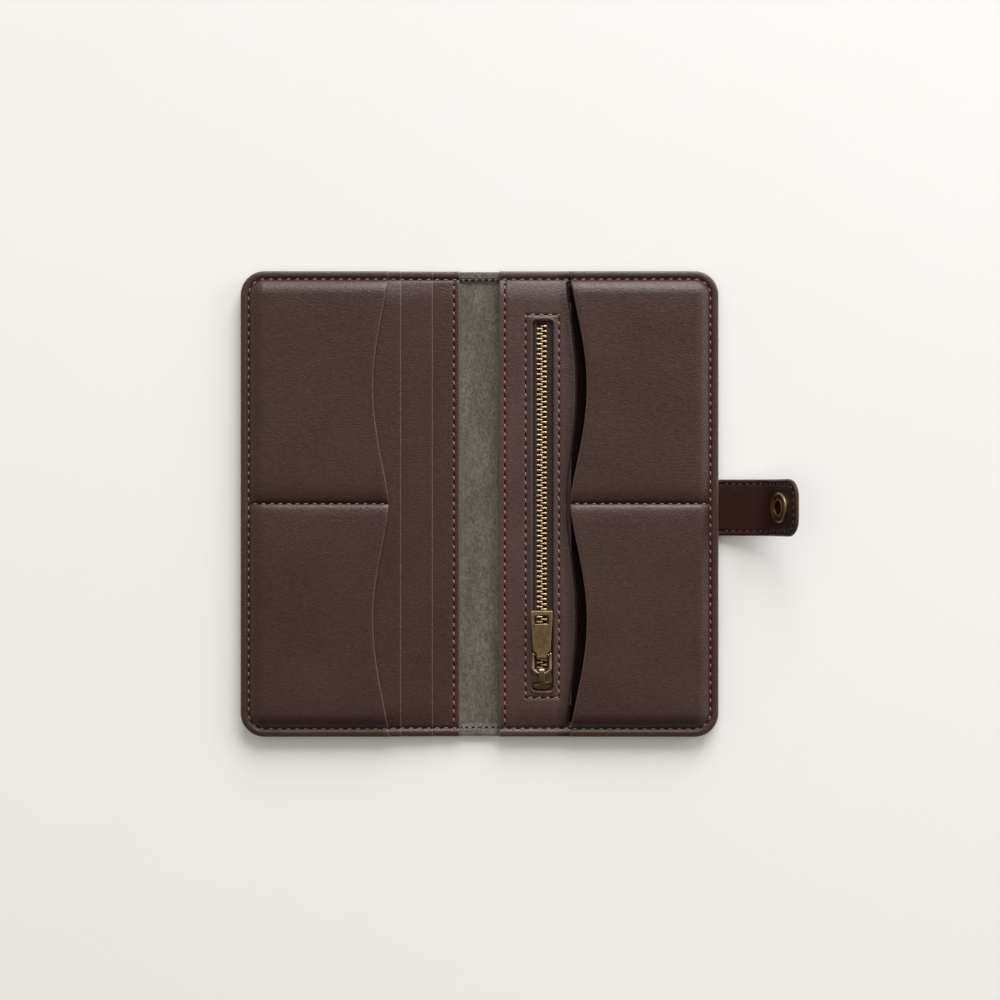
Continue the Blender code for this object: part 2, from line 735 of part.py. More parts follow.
def pull(mats):
    """The wire link, free in the bridge, and the tab, free on the link."""
    y0, y1 = LINK_Y
    wire = rounded(
        [
            (CHAIN_X - LINK_HALF, y1, 1.2),
            (CHAIN_X - LINK_HALF, y0 + 1.9, 1.0),
            (CHAIN_X - LINK_HALF + 1.3, y0, 0.8),
            (CHAIN_X + LINK_HALF - 1.3, y0, 0.8),
            (CHAIN_X + LINK_HALF, y0 + 1.9, 1.0),
            (CHAIN_X + LINK_HALF, y1, 1.2),
        ],
        3,
    )
    link = thread("pull_link", mats["brass"], [(*p, LINK_Z) for p in wire], LINK_R, cyclic=True)

    neck = y1 + (BARREL_R + BARREL_BORE) / 2
    tab_outline = rounded(
        [
            (CHAIN_X - 1.9, neck, 0),
            (CHAIN_X + 1.9, neck, 0),
            (CHAIN_X + 1.9, -60.0, 0.4),
            (CHAIN_X + 3.45, -59.4, 0.8),
            (CHAIN_X + 4.4, TAB_END, 1.6),
            (CHAIN_X - 4.4, TAB_END, 1.6),
            (CHAIN_X - 3.45, -59.4, 0.8),
            (CHAIN_X - 1.9, -60.0, 0.4),
        ],
        3,
    )
    window_x = (CHAIN_X - 3.0, CHAIN_X + 3.0)
    window_y = (TAB_END - 1.5 - 3.9, TAB_END - 1.5)
    window = rounded([(x, y, 0.9) for x, y in corners_of(window_x, window_y)], 3)
    heights = (LINK_Z - TAB_THICK / 2 + 0.05, LINK_Z + TAB_THICK / 2 + 0.05)
    tab = as_mesh(sheet("pull_tab", mats["brass"], heights, tab_outline, [window]))
    ring, bore = circle(BARREL_R, y1, LINK_Z), circle(BARREL_BORE, y1, LINK_Z, 16)
    barrel = profile_along_x("pull_tab_barrel", mats["brass"], ring, CHAIN_X, 3.8, [bore], CUTTERS)
    combine(tab, as_mesh(barrel), "UNION")

    link_hinge = hinge("link_axis", (CHAIN_X, y0, LINK_Z))
    hang_in_place([link], link_hinge)
    tab_hinge = hinge("tab_axis", (CHAIN_X, y1, LINK_Z))
    hang_in_place([tab], tab_hinge)


# ---------------------------------------------------------------- strap


def strap_layers(word, start, end, tip_radius, hole, mats):
    """Outer leather and lining of a length of strap, drawn along +X about its hinge."""
    half = STRAP_WIDTH / 2
    outline = rounded(
        [(start, -half, 0), (end, -half, tip_radius), (end, half, tip_radius), (start, half, 0)]
    )
    holes = [circle(RIVET_R + 0.3, SNAP_AT, 0, 16)] if hole else []
    low, high = -STRAP_THICK / 2, STRAP_THICK / 2
    outer = (low, low + STRAP_LAYER)
    inner = (high - STRAP_LAYER, high)
    return [
        sheet(f"strap_{word}_outer", mats["leather"], outer, outline, holes),
        sheet(f"strap_{word}_lining", mats["leather"], inner, outline, holes),
    ]


def strap_seams(mats):
    """The seam along the strap's edge, on its outer face."""
    line = STRAP_WIDTH / 2 - STRAP_SEAM_INSET
    z = -STRAP_THICK / 2 - GAP / 2 - THREAD_R
    sides = []
    for side, word in ((-1, "lower"), (1, "upper")):
        run = [(x, side * line, z) for x in (1.5, STRAP_MIDDLE - 1.0)]
        sides.append(thread(f"strap_middle_thread_{word}", mats["thread"], run))
    end = STRAP_TIP - STRAP_SEAM_INSET
    turn = rounded([(end, -line, 5.1), (end, line, 5.1), (0, line, 0), (0, -line, 0)])
    bend = [(1.5, -line, z)] + [(*p, z) for p in turn if p.x > 1.5] + [(1.5, line, z)]
    return sides, thread("strap_tip_thread", mats["thread"], bend)


def strap(mats):
    half = STRAP_WIDTH / 2
    root = rounded([(x, y, 0) for x, y in corners_of((STRAP_ROOT_X, 98.65), (-half, half))])
    middle_z = (STRAP_HINGE_Z - STRAP_THICK / 2, STRAP_HINGE_Z + STRAP_THICK / 2)
    tongue = sheet("strap_root", mats["leather"], middle_z, root)
    tongue.location.y = STRAP_Y * MM

    first = hinge("strap_axis_1", (STRAP_HINGE_X, STRAP_Y, STRAP_HINGE_Z), -STRAP_TILT)
    second = hinge("strap_axis_2", (STRAP_MIDDLE, 0, 0), -STRAP_TIP_TILT, first)
    before, after = 0.7, 1.2  # the layers stop short of each hinge, so that they can bend at it
    middle = strap_layers("middle", after, STRAP_MIDDLE - before, 0, False, mats)
    tip = strap_layers("tip", after, STRAP_TIP, 7.0, True, mats)
    middle_threads, tip_thread = strap_seams(mats)
    hang([*middle, *middle_threads], first)
    hang([*tip, tip_thread, *snap_on_strap(mats)], second)


def snap_on_strap(mats):
    """Cap on the outer face, with its rivet through the strap, and the socket on the inner face."""
    outer_face, inner_face = -STRAP_THICK / 2 - GAP, STRAP_THICK / 2 + 0.1
    cap = [
        (0, inner_face - 0.35),
        (RIVET_R, inner_face - 0.35),
        (RIVET_R, outer_face),
        (SNAP_R, outer_face),
        (SNAP_R, outer_face - 0.5),
        (SNAP_R - 0.8, outer_face - 1.2),
        (SNAP_R - 2.6, outer_face - 1.7),
        (0, outer_face - 2.0),
    ]
    socket = [
        (SNAP_R - 0.5, inner_face + SOCKET_THICK),
        (SNAP_R, inner_face + SOCKET_THICK - 0.5),
        (SNAP_R, inner_face),
        (SOCKET_HOLE_R, inner_face),
        (SOCKET_HOLE_R, inner_face + SOCKET_THICK - 0.3),
        (SOCKET_HOLE_R + 0.6, inner_face + SOCKET_THICK),
    ]
    pieces = [turned("snap_cap", mats["brass"], cap), turned("snap_socket", mats["brass"], socket)]
    for piece in pieces:
        piece.location.x = SNAP_AT * MM
    return pieces


def main():
    clear_scene()
    collection(PARTS)
    collection(CUTTERS, hidden=True)
    mats = materials()
    card_half(mats)
    spine(mats)
    coin_half(mats)
    zipper(mats)
    slider(mats)
    pull(mats)
    strap(mats)


main()
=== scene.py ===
"""Looks of the long wallet: leather, suede, stitching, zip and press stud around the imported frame.

Lengths are in millimetres until a mesh is made. Each half is drawn with u = distance from the
spine's middle and y along the spine, then mirrored by its side (-1 card half, +1 zipped half).
"""

import json
import math

import bmesh
import bpy
import numpy as np
from mathutils import Matrix, Vector


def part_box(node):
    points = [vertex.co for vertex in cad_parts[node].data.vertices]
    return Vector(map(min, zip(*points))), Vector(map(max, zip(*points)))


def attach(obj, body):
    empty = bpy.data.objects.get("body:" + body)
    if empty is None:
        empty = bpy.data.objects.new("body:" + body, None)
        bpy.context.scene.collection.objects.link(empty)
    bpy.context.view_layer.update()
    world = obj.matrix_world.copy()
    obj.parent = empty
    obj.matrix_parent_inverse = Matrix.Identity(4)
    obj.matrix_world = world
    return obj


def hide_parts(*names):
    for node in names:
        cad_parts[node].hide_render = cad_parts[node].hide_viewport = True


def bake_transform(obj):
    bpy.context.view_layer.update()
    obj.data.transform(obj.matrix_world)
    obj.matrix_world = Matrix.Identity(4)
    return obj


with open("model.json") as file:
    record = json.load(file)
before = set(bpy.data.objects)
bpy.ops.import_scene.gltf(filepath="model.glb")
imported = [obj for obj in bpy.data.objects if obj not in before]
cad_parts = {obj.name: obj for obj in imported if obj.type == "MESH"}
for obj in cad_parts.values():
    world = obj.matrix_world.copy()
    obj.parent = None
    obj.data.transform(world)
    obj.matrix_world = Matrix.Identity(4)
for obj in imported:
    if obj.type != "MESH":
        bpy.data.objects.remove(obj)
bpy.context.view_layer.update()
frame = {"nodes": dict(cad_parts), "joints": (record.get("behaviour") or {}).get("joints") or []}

MM = 0.001


def box_mm(node):
    low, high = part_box(node)
    return np.array(low) / MM, np.array(high) / MM


# --- sizes, from the frame

EDGE = box_mm("right_cover")[1][0]  # outer edge of a half
HALF_LENGTH = box_mm("right_cover")[1][1]
SPINE_HALF = 8.0
FOLD_Z = 2.0
CORNER_R = 9.8
SEAM = 3.3  # the seam's distance from the outline
RIM = 4.2  # width of the stiff rim
BASE_EDGE = -box_mm("card_base_panel")[1][0]
TIER_3_EDGE = -box_mm("card_tier_3")[1][0]
TIER_2_EDGE = -box_mm("card_tier_2")[1][0]
FRONT_EDGE = -box_mm("card_front_pocket")[1][0]
SCOOPS = {-1: 6.3, 1: 6.7}
TUCK = 4.1  # how far a panel runs at full width under the next one
INNER_END = 88.0  # where the hidden ends of the panels stop
HIDDEN_Y = 90.2  # half their width there
PADDING_START = 10.3  # where the foam and the coin pocket's back start
CUT_EDGE = 0.9  # rounding of the leather's outer edges
FREE_EDGE = 0.4  # and of the panels' free edges

STITCH_PITCH = 3.55
BASE_SEAM_U = BASE_EDGE + 2.3
ZIP_EDGE_SEAM_U = BASE_EDGE + 2.1
DIVIDER_SEAM = 0.3
DIVIDER_VALLEY = 0.4
LOWER_SEAM_SHADE = 0.5  # how far painted shade darkens padded leather along a pocket's lower seam, where its pillow turns away from the light
MOUTH_GAP = (2.2, 3.0)  # how far the coin half's mouth gapes at a scoop's ends, and more in its middle

# Slot and chain of the zip
CHAIN_X = 25.3
SLOT_U = (21.6, 30.0)
SLOT_Y = (-76.0, 74.7)
ZIP_SEAM_U = (18.8, 32.3)
ZIP_SEAM_Y = (-78.9, 77.1)
CHAIN_HALF = 2.2
TOOTH_PITCH = 2.06
TEETH_Z = (box_mm("zipper_teeth_left")[0][2], box_mm("zipper_teeth_left")[1][2])
TAPE_Z = (box_mm("zipper_tape_left")[0][2], box_mm("zipper_tape_left")[1][2])

# Top surface of each panel: its height at the rim's seam and inside, and its thickness there
LEVELS = {
    "base": {"rim": 4.2, "inner": 4.9, "thick": (0.55, 0.7)},
    "tier_3": {"rim": 4.85, "inner": 6.2, "thick": (0.55, 0.75)},
    "tier_2": {"rim": 5.5, "inner": 7.5, "thick": (0.55, 0.75)},
    "zip": {"rim": 5.5, "inner": 7.5, "thick": (0.6, 0.75)},
    "front": {"rim": 6.25, "inner": 8.4, "thick": (0.65, 0.9)},
}
PILLOW = 0.95  # how far a padded front rises above its seams, in its middle

# Strap: its folds are joints of the frame
JOINTS = {joint["name"]: joint for joint in frame["joints"]}
STRAP_FOLD_1 = np.array(JOINTS["strap_bend_near"]["pos_m"]) / MM
STRAP_FOLD_2 = np.array(JOINTS["strap_bend_far"]["pos_m"]) / MM
STRAP_Y = STRAP_FOLD_1[1]
STRAP_HALF = 11.5
STRAP_THICK = 1.8
STRAP_ROOT = -5.3
STRAP_TIP = 25.0
STRAP_TILT = math.radians(18.0)
TIP_TILT = math.radians(68.0)
STRAP_TIP_R = 7.0
STRAP_SEAM = 1.9
SNAP_AT = 12.5
STUD_X = -86.3
STUD_ZONE = np.arange(-7.4, 7.5, 0.32)  # the finer grid over the dimple around the stud
DIMPLE_R = 6.15
FOAM_HOLE_R = 8.6  # the foam leaves room for the dimple
CAP_R = 6.15
STRAP_PITCH = 2.9  # of the strap's stitches
SPINE_PITCH = 2.7  # of the stitches at the spine's ends
ENDS = ((-1, "lower"), (1, "upper"))


# --- small shape helpers


def smooth(t):
    t = np.clip(t, 0.0, 1.0)
    return t * t * (3 - 2 * t)


def ease(t):
    """Rises quickly from 0 and flattens out at 1."""
    return 1 - (1 - np.clip(t, 0.0, 1.0)) ** 2


def quarter_round(depth, radius):
    """The height, from 0 to 1, of a rounded edge at a depth from that edge."""
    return np.sqrt(1 - (1 - np.clip(depth / radius, 0.0, 1.0)) ** 2)


def groove(distance, depth, width=0.6):
    return depth * np.exp(-((distance / width) ** 2))


def edge_steps(radius, count):
    """Distances from an edge that follow its rounding evenly."""
    return [radius * (1 - math.cos(k * math.pi / 2 / count)) for k in range(count + 1)]


def depth_inside(past_u, past_y, radius):
    """Depth inside an outline with round corners; past_* are measured from the corner's centre."""
    in_corner = (past_u > 0) & (past_y > 0)
    return np.where(in_corner, radius - np.hypot(past_u, past_y), radius - np.maximum(past_u, past_y))


def outline_depth(u, y):
    """How far a point of a half lies inside the wallet's outline."""
    return depth_inside(u - (EDGE - CORNER_R), np.abs(y) - (HALF_LENGTH - CORNER_R), CORNER_R)


def scoop(y):
    """How far along its pocket's mouth a place is, from 0 to 1."""
    return np.mod(y + HALF_LENGTH, HALF_LENGTH) / HALF_LENGTH


def mouth(side, y):
    """Where the scooped edge of a front pocket runs: two equal shallow scoops."""
    return FRONT_EDGE + SCOOPS[side] * np.sin(math.pi * scoop(y)) ** 1.4


def rounded(corners, steps=8):
    """A closed outline through (x, y, radius) corners, each rounded by an arc."""
    points = []
    for i, (x, y, radius) in enumerate(corners):
        here = Vector((x, y))
        if radius == 0:
            points.append(here)
            continue
        before = (Vector(corners[i - 1][:2]) - here).normalized()
        after = (Vector(corners[(i + 1) % len(corners)][:2]) - here).normalized()
        half = before.angle(after) / 2
        centre = here + (before + after).normalized() * radius / math.sin(half)
        first = here + before * radius / math.tan(half) - centre
        turn = first.angle_signed(here + after * radius / math.tan(half) - centre)
        for step in range(steps + 1):
            cos, sin = math.cos(-turn * step / steps), math.sin(-turn * step / steps)
            points.append(centre + Vector((first.x * cos - first.y * sin, first.x * sin + first.y * cos)))
    return [tuple(point) for point in points]


def circle(radius, x=0.0, y=0.0, count=32):
    turn = 2 * math.pi / count
    return [(x + radius * math.cos(i * turn), y + radius * math.sin(i * turn)) for i in range(count)]


def corners_of(across, along):
    (x0, x1), (y0, y1) = across, along
    return [(x0, y0), (x1, y0), (x1, y1), (x0, y1)]


# --- mesh helpers


def link(name, data):
    obj = bpy.data.objects.new(name, data)
    bpy.context.scene.collection.objects.link(obj)
    return obj


def soften(mesh, sharp):
    """Smooth shading, broken at edges sharper than an angle."""
    mesh.shade_smooth()
    mesh.set_sharp_from_angle(angle=math.radians(sharp))


def weld(mesh, distance):
    """Drops loose points, welds doubles and turns all faces outwards."""
    work = bmesh.new()
    work.from_mesh(mesh)
    bmesh.ops.delete(work, geom=[vertex for vertex in work.verts if not vertex.link_faces], context="VERTS")
    bmesh.ops.remove_doubles(work, verts=work.verts, dist=distance)
    bmesh.ops.recalc_face_normals(work, faces=work.faces)
    work.to_mesh(mesh)
    work.free()


def mesh_object(name, verts, faces, surfaces, sharp=50.0, indices=None, wear_and_shade=None):
    """A clean, closed mesh from points in millimetres; its wear and painted shade run from 1 on rubbed edges to
    -1 where the painted shade is darkest.
    """
    mesh = bpy.data.meshes.new(name)
    mesh.from_pydata((np.asarray(verts) * MM).tolist(), [], [list(map(int, f)) for f in faces])
    for surface in surfaces if isinstance(surfaces, (list, tuple)) else [surfaces]:
        mesh.materials.append(surface)
    if indices is not None:
        mesh.polygons.foreach_set("material_index", np.asarray(indices, np.int32))
    if wear_and_shade is not None:
        mesh.attributes.new("wear_and_shade", "FLOAT", "POINT").data.foreach_set("value", wear_and_shade.astype(np.float32))
    weld(mesh, 2e-7)
    soften(mesh, sharp)
    return link(name, mesh)


def slab(name, across, along, top, bottom, surface, keep=None, side=1, warp=None, wear_and_shade=None):
    """A closed sheet between two heights over a grid; keep marks the cells that aren't cut out."""
    rows, cols = across.shape
    count = rows * cols
    flat = [np.stack([across * side, along, z], -1).reshape(-1, 3) for z in (top, bottom)]
    verts = np.concatenate(flat)
    if warp is not None:
        verts = warp(verts)
    cell = np.ones((rows - 1, cols - 1), bool) if keep is None else keep
    index = np.arange(count).reshape(rows, cols)
    a, b, c, d = index[:-1, :-1], index[:-1, 1:], index[1:, 1:], index[1:, :-1]
    upper = np.stack([a[cell], b[cell], c[cell], d[cell]], -1)
    faces = [upper, upper[:, ::-1] + count]
    wide = np.pad(cell, 1)
    walls = (
        (wide[1:-1, :-1] != wide[1:-1, 1:], index[:-1, :], index[1:, :]),
        (wide[:-1, 1:-1] != wide[1:, 1:-1], index[:, :-1], index[:, 1:]),
    )
    for edge, first, second in walls:
        p, q = first[edge], second[edge]
        faces.append(np.stack([p, q, q + count, p + count], -1))
    rubbed_and_shaded = np.zeros(count) if wear_and_shade is None else wear_and_shade.ravel()
    return mesh_object(name, verts, np.concatenate(faces), surface, wear_and_shade=np.tile(rubbed_and_shaded, 2))


def tube_faces(rings, sides, closed=False):
    """Faces of a tube whose points run ring by ring."""
    faces = []
    for i in range(rings if closed else rings - 1):
        j = (i + 1) % rings
        for k in range(sides):
            m = (k + 1) % sides
            faces.append([i * sides + k, i * sides + m, j * sides + m, j * sides + k])
    if not closed:
        faces.append(list(range(sides)))
        faces.append([(rings - 1) * sides + k for k in range(sides)])
    return faces


def unit(rows):
    return rows / np.linalg.norm(rows, axis=1, keepdims=True)


def path_normals(path, closed):
    """Unit normals to the left of a path, mitred at its corners."""
    path = np.asarray(path, float)
    if closed:
        before, after = path - np.roll(path, 1, 0), np.roll(path, -1, 0) - path
    else:
        step = np.diff(path, axis=0)
        before, after = np.vstack([step[:1], step]), np.vstack([step, step[-1:]])
    before = unit(before)
    middle = before + unit(after)
    normal = unit(np.stack([-middle[:, 1], middle[:, 0]], -1))
    mitre = (normal * np.stack([-before[:, 1], before[:, 0]], -1)).sum(1, keepdims=True)
    return normal / np.maximum(mitre, 0.4)


def sweep(name, path, section, surface, closed=False, side=1, sharp=50.0):
    """A profile of (inward offset, height) points, section(u, y), carried along a flat path."""
    verts = []
    for (u, y), (nu, ny) in zip(path, path_normals(path, closed)):
        verts += [(side * (u + nu * offset), y + ny * offset, z) for offset, z in section(u, y)]
    return mesh_object(name, verts, tube_faces(len(path), len(verts) // len(path), closed), surface, sharp)


def turned(name, profile, surface, place):
    """A turned piece: a closed loop of (radius, height) points, spun about its own upright axis."""
    steps, verts = 64, []
    for x, y in circle(1.0, count=steps):
        verts += [tuple(place @ Vector((radius * x, radius * y, height))) for radius, height in profile]
    return mesh_object(name, verts, tube_faces(steps, len(profile), closed=True), surface, 35.0)


def evaluated(obj):
    bpy.context.view_layer.update()
    return bpy.data.meshes.new_from_object(obj.evaluated_get(bpy.context.evaluated_depsgraph_get()))


def curve(name, dimensions, bevel, resolution):
    data = bpy.data.curves.new(name, "CURVE")
    data.dimensions = dimensions
    data.bevel_depth = bevel * MM
    data.bevel_resolution = resolution
    return data


def add_spline(data, loop, z=0.0, closed=True):
    spline = data.splines.new("POLY")
    spline.points.add(len(loop) - 1)
    for point, (x, y) in zip(spline.points, loop):
        point.co = (x * MM, y * MM, z * MM, 1)
    spline.use_cyclic_u = closed


def as_mesh(name, data, surface, place=Matrix.Identity(4)):
    """Turns curve data into a welded mesh object."""
    obj = link(name, data)
    obj.matrix_world = place
    mesh = evaluated(obj)
    mesh.transform(obj.matrix_world)
    weld(mesh, 1e-6)
    bpy.data.objects.remove(obj)
    mesh.materials.clear()
    mesh.materials.append(surface)
    soften(mesh, 35.0)
    return link(name, mesh)


def plate(name, loops, heights, bevel, surface, place=Matrix.Identity(4)):
    """A flat metal piece with bevelled edges: an outline, then its holes."""
    data = curve(name, "2D", bevel, 2)
    data.fill_mode = "BOTH"
    data.extrude = ((heights[1] - heights[0]) / 2 - bevel) * MM
    data.offset = -bevel * MM
    for i, loop in enumerate(loops):
        area = sum(a[0] * b[1] - b[0] * a[1] for a, b in zip(loop, list(loop[1:]) + list(loop[:1])))
        add_spline(data, loop if (area > 0) == (i == 0) else loop[::-1])
    lift = Matrix.Translation((0, 0, (heights[0] + heights[1]) / 2))
    return as_mesh(name, data, surface, Matrix.Scale(MM, 4) @ place @ lift @ Matrix.Scale(1 / MM, 4))


def wire(name, loop, z, radius, surface):
    data = curve(name, "3D", radius, 5)
    data.use_fill_caps = True
    add_spline(data, loop, z, False)
    return as_mesh(name, data, surface)


def fuse(target, others, sharp=35.0):
    """Joins pieces into one closed mesh."""
    for other in others:
        modifier = target.modifiers.new("join", "BOOLEAN")
        modifier.operation = "UNION"
        modifier.solver = "EXACT"
        modifier.object = other
    mesh = evaluated(target)
    target.modifiers.clear()
    target.data = mesh
    soften(mesh, sharp)
    for other in others:
        bpy.data.objects.remove(other)
    return target


# --- materials


class Surface:
    """A node material under construction."""

    def __init__(self, name, roughness=0.5, metallic=0.0, **fixed):
        self.made = bpy.data.materials.new(name)
        self.made.use_nodes = True
        self.tree = self.made.node_tree
        self.shader = self.tree.nodes["Principled BSDF"]
        self.shader.inputs["Roughness"].default_value = roughness
        self.shader.inputs["Metallic"].default_value = metallic
        for socket, value in fixed.items():
            self.shader.inputs[socket.replace("_", " ")].default_value = value
        self.place = self.tree.nodes.new("ShaderNodeTexCoord").outputs["Object"]

    def node(self, kind, inputs=None, **settings):
        made = self.tree.nodes.new(kind)
        for key, value in settings.items():
            setattr(made, key, value)
        for key, value in (inputs or {}).items():
            self.feed(made.inputs[key], value)
        return made

    def feed(self, socket, value):
        if isinstance(value, bpy.types.NodeSocket):
            self.tree.links.new(value, socket)
        else:
            socket.default_value = value

    def noise(self, size, detail=3.0, roughness=0.5, stretch=(1, 1, 1)):
        """Soft noise whose features are about size millimetres across."""
        place = self.place
        if stretch != (1, 1, 1):
            place = self.node("ShaderNodeMapping", {"Vector": place, "Scale": stretch}).outputs[0]
        inputs = {"Vector": place, "Scale": 1 / (size * MM), "Detail": detail, "Roughness": roughness}
        return self.node("ShaderNodeTexNoise", inputs).outputs["Fac"]

    def cells(self, size):
        inputs = {"Vector": self.place, "Scale": 1 / (size * MM)}
        return self.node("ShaderNodeTexVoronoi", inputs, feature="SMOOTH_F1").outputs["Distance"]

    def ribs(self, pitch, direction="X", place=None):
        """Parallel ridges, pitch millimetres apart."""
        # a wave texture of scale 1 repeats every pi / 10 units
        inputs = {"Vector": place or self.place, "Scale": math.pi / 10 / (pitch * MM)}
        return self.node("ShaderNodeTexWave", inputs, bands_direction=direction).outputs["Fac"]

    def ramp(self, value, low, high, start=0.0, end=1.0):
        inputs = {"Value": value, "From Min": low, "From Max": high, "To Min": start, "To Max": end}
        return self.node("ShaderNodeMapRange", inputs).outputs["Result"]

    def maths(self, operation, a, b):
        return self.node("ShaderNodeMath", {0: a, 1: b}, operation=operation).outputs[0]

    def mix(self, factor, a, b):
        made = self.node("ShaderNodeMix", data_type="RGBA")
        self.feed(made.inputs["Factor"], factor)
        self.feed(made.inputs[6], a if isinstance(a, bpy.types.NodeSocket) else (*a, 1.0))
        self.feed(made.inputs[7], b if isinstance(b, bpy.types.NodeSocket) else (*b, 1.0))
        return made.outputs[2]

    def bumps(self, layers):
        """Stacks bump layers given as (height, depth in millimetres, strength)."""
        normal = None
        for height, depth, strength in layers:
            inputs = {"Height": height, "Distance": depth * MM, "Strength": strength}
            if normal is not None:
                inputs["Normal"] = normal
            normal = self.node("ShaderNodeBump", inputs).outputs["Normal"]
        self.feed(self.shader.inputs["Normal"], normal)

    def worn(self, low, high):
        """1 on sharp outer edges, 0 on flats and in hollows."""
        return self.ramp(self.node("ShaderNodeNewGeometry").outputs["Pointiness"], low, high)

    def colour(self, value):
        self.feed(self.shader.inputs["Base Color"], value)

    def rough(self, value):
        self.feed(self.shader.inputs["Roughness"], value)


def leather(name, deep, light, edge, gloss=0.55):
    made = Surface(name, Specular_IOR_Level=gloss, Sheen_Weight=0.03, Sheen_Roughness=0.4)
    grain = made.cells(0.62)
    creases = made.noise(1.2, 5.0, 0.7, stretch=(0.65, 1.7, 1))
    pores = made.noise(0.28, 2.0)
    tone = made.ramp(made.noise(26.0, 5.0, 0.6), 0.3, 0.72)
    speckle = made.ramp(made.noise(0.9, 3.0), 0.35, 0.7)
    base = made.mix(tone, deep, light)
    # grain tone, darker in the creases' valleys as painted shade
    lined = made.mix(made.ramp(creases, 0.35, 0.65, 0.35, 0.0), base, tuple(c * 0.5 for c in deep))
    flecked = made.mix(made.maths("MULTIPLY", speckle, 0.25), lined, tuple(c * 1.6 for c in light))
    rubbed_and_shaded = made.node("ShaderNodeAttribute", attribute_name="wear_and_shade").outputs["Fac"]
    patchy = made.ramp(made.noise(2.0, 3.0), 0.3, 0.6, 0.55, 1.0)
    # negative values paint shade: the leather is mixed towards a darker brown where a piece carries painted
    # shade
    shaded = made.mix(made.ramp(rubbed_and_shaded, 0.0, -1.0), flecked, tuple(c * 0.35 for c in deep))
    made.colour(made.mix(made.ramp(made.maths("MULTIPLY", rubbed_and_shaded, patchy), 0.0, 1.0), shaded, edge))
    made.rough(made.ramp(made.noise(2.4, 4.0), 0.3, 0.7, 0.30, 0.42))
    made.bumps([(creases, 0.2, 0.8), (grain, 0.1, 0.5), (pores, 0.03, 0.4)])
    return made.made


def suede(name, deep, light):
    made = Surface(name, Specular_IOR_Level=0.15, Sheen_Weight=0.25, Sheen_Roughness=0.6)
    nap = made.noise(0.8, 4.0, 0.8, stretch=(1, 0.6, 1))
    brushed = made.ramp(made.noise(6.0, 5.0, 0.65, stretch=(1, 0.35, 1)), 0.3, 0.7)
    base = made.mix(brushed, deep, light)
    made.colour(made.mix(made.ramp(nap, 0.4, 0.62, 0.0, 0.75), base, tuple(c * 0.4 for c in deep)))
    made.rough(0.9)
    made.bumps([(nap, 0.2, 0.9), (made.noise(2.2, 3.0), 0.1, 0.4)])
    return made.made


def woven(name, deep, light, pitch, gloss=0.2):
    made = Surface(name, 0.85, Specular_IOR_Level=gloss, Sheen_Weight=gloss / 2)
    warp, weft = made.ribs(pitch, "X"), made.ribs(pitch * 1.2, "Y")
    weave = made.maths("MULTIPLY", warp, weft)
    made.colour(made.mix(made.ramp(weave, 0.05, 0.6), deep, light))
    made.bumps([(weave, 0.12, 0.9), (made.noise(0.3, 3.0), 0.04, 0.6)])
    return made.made


def sewing_thread(name, deep, light):
    made = Surface(name, 0.42, Specular_IOR_Level=0.6, Sheen_Weight=0.2)
    strands = made.node("ShaderNodeMapping", {"Vector": made.place, "Rotation": (0, 0, 0.8)}).outputs[0]
    twist = made.ribs(0.32, "X", strands)
    made.colour(made.mix(made.ramp(twist, 0.2, 0.8), deep, light))
    made.bumps([(twist, 0.05, 0.7)])
    return made.made


def brass(name, dark, bright, low, high, roughness=(0.3, 0.5)):
    made = Surface(name, 0.4, 1.0)
    patina = made.ramp(made.noise(1.6, 5.0, 0.65), 0.35, 0.7)
    rub = made.maths("MAXIMUM", made.worn(low, high), made.ramp(patina, 0.6, 1.0, 0.0, 0.35))
    made.colour(made.mix(rub, dark, bright))
    made.rough(made.ramp(patina, 0.0, 1.0, *roughness))
    made.bumps([(made.noise(0.5, 3.0), 0.02, 0.5), (made.noise(3.0, 2.0), 0.05, 0.3)])
    return made.made


def plain_fibre(name, deep, light, size):
    """Board and foam: speckled, matt."""
    made = Surface(name, 0.92, Specular_IOR_Level=0.1)
    speckle = made.noise(size, 4.0, 0.7)
    made.colour(made.mix(made.ramp(speckle, 0.3, 0.7), deep, light))
    made.bumps([(speckle, 0.15, 0.8)])
    return made.made


def matt(name, deep, light, size, detail=3.0, roughness=0.9):
    made = Surface(name, roughness, Specular_IOR_Level=0.1)
    made.colour(made.mix(made.noise(size, detail), deep, light))
    return made.made


LEATHER = leather("dark_brown_leather", (0.040, 0.0160, 0.0110), (0.056, 0.0240, 0.0170), (0.18, 0.115, 0.095))
ZIP_LEATHER = leather("zip_panel_leather", (0.052, 0.0235, 0.0185), (0.074, 0.039, 0.032), (0.19, 0.125, 0.105))
STRAP_LEATHER = leather(
    "strap_leather", (0.024, 0.0075, 0.0048), (0.037, 0.0135, 0.0090), (0.10, 0.055, 0.042), 0.16
)
SUEDE = suede("grey_brown_suede", (0.115, 0.098, 0.078), (0.205, 0.180, 0.148))
LINING = woven("brown_lining", (0.035, 0.024, 0.018), (0.10, 0.075, 0.060), 0.45)
# the pocket lining's weave, coloured near-black as painted shadow inside the coin pocket's mouth
SHADOW_LINING = woven("pocket_lining_painted_shadow", (0.0035, 0.0015, 0.001), (0.010, 0.005, 0.004), 0.4, 0.04)
TAPE = woven("zipper_tape", (0.020, 0.011, 0.009), (0.075, 0.046, 0.038), 0.55)
THREAD = sewing_thread("burgundy_thread", (0.12, 0.05, 0.045), (0.36, 0.22, 0.20))
STRAP_THREAD = sewing_thread("strap_thread", (0.024, 0.009, 0.007), (0.060, 0.030, 0.022))
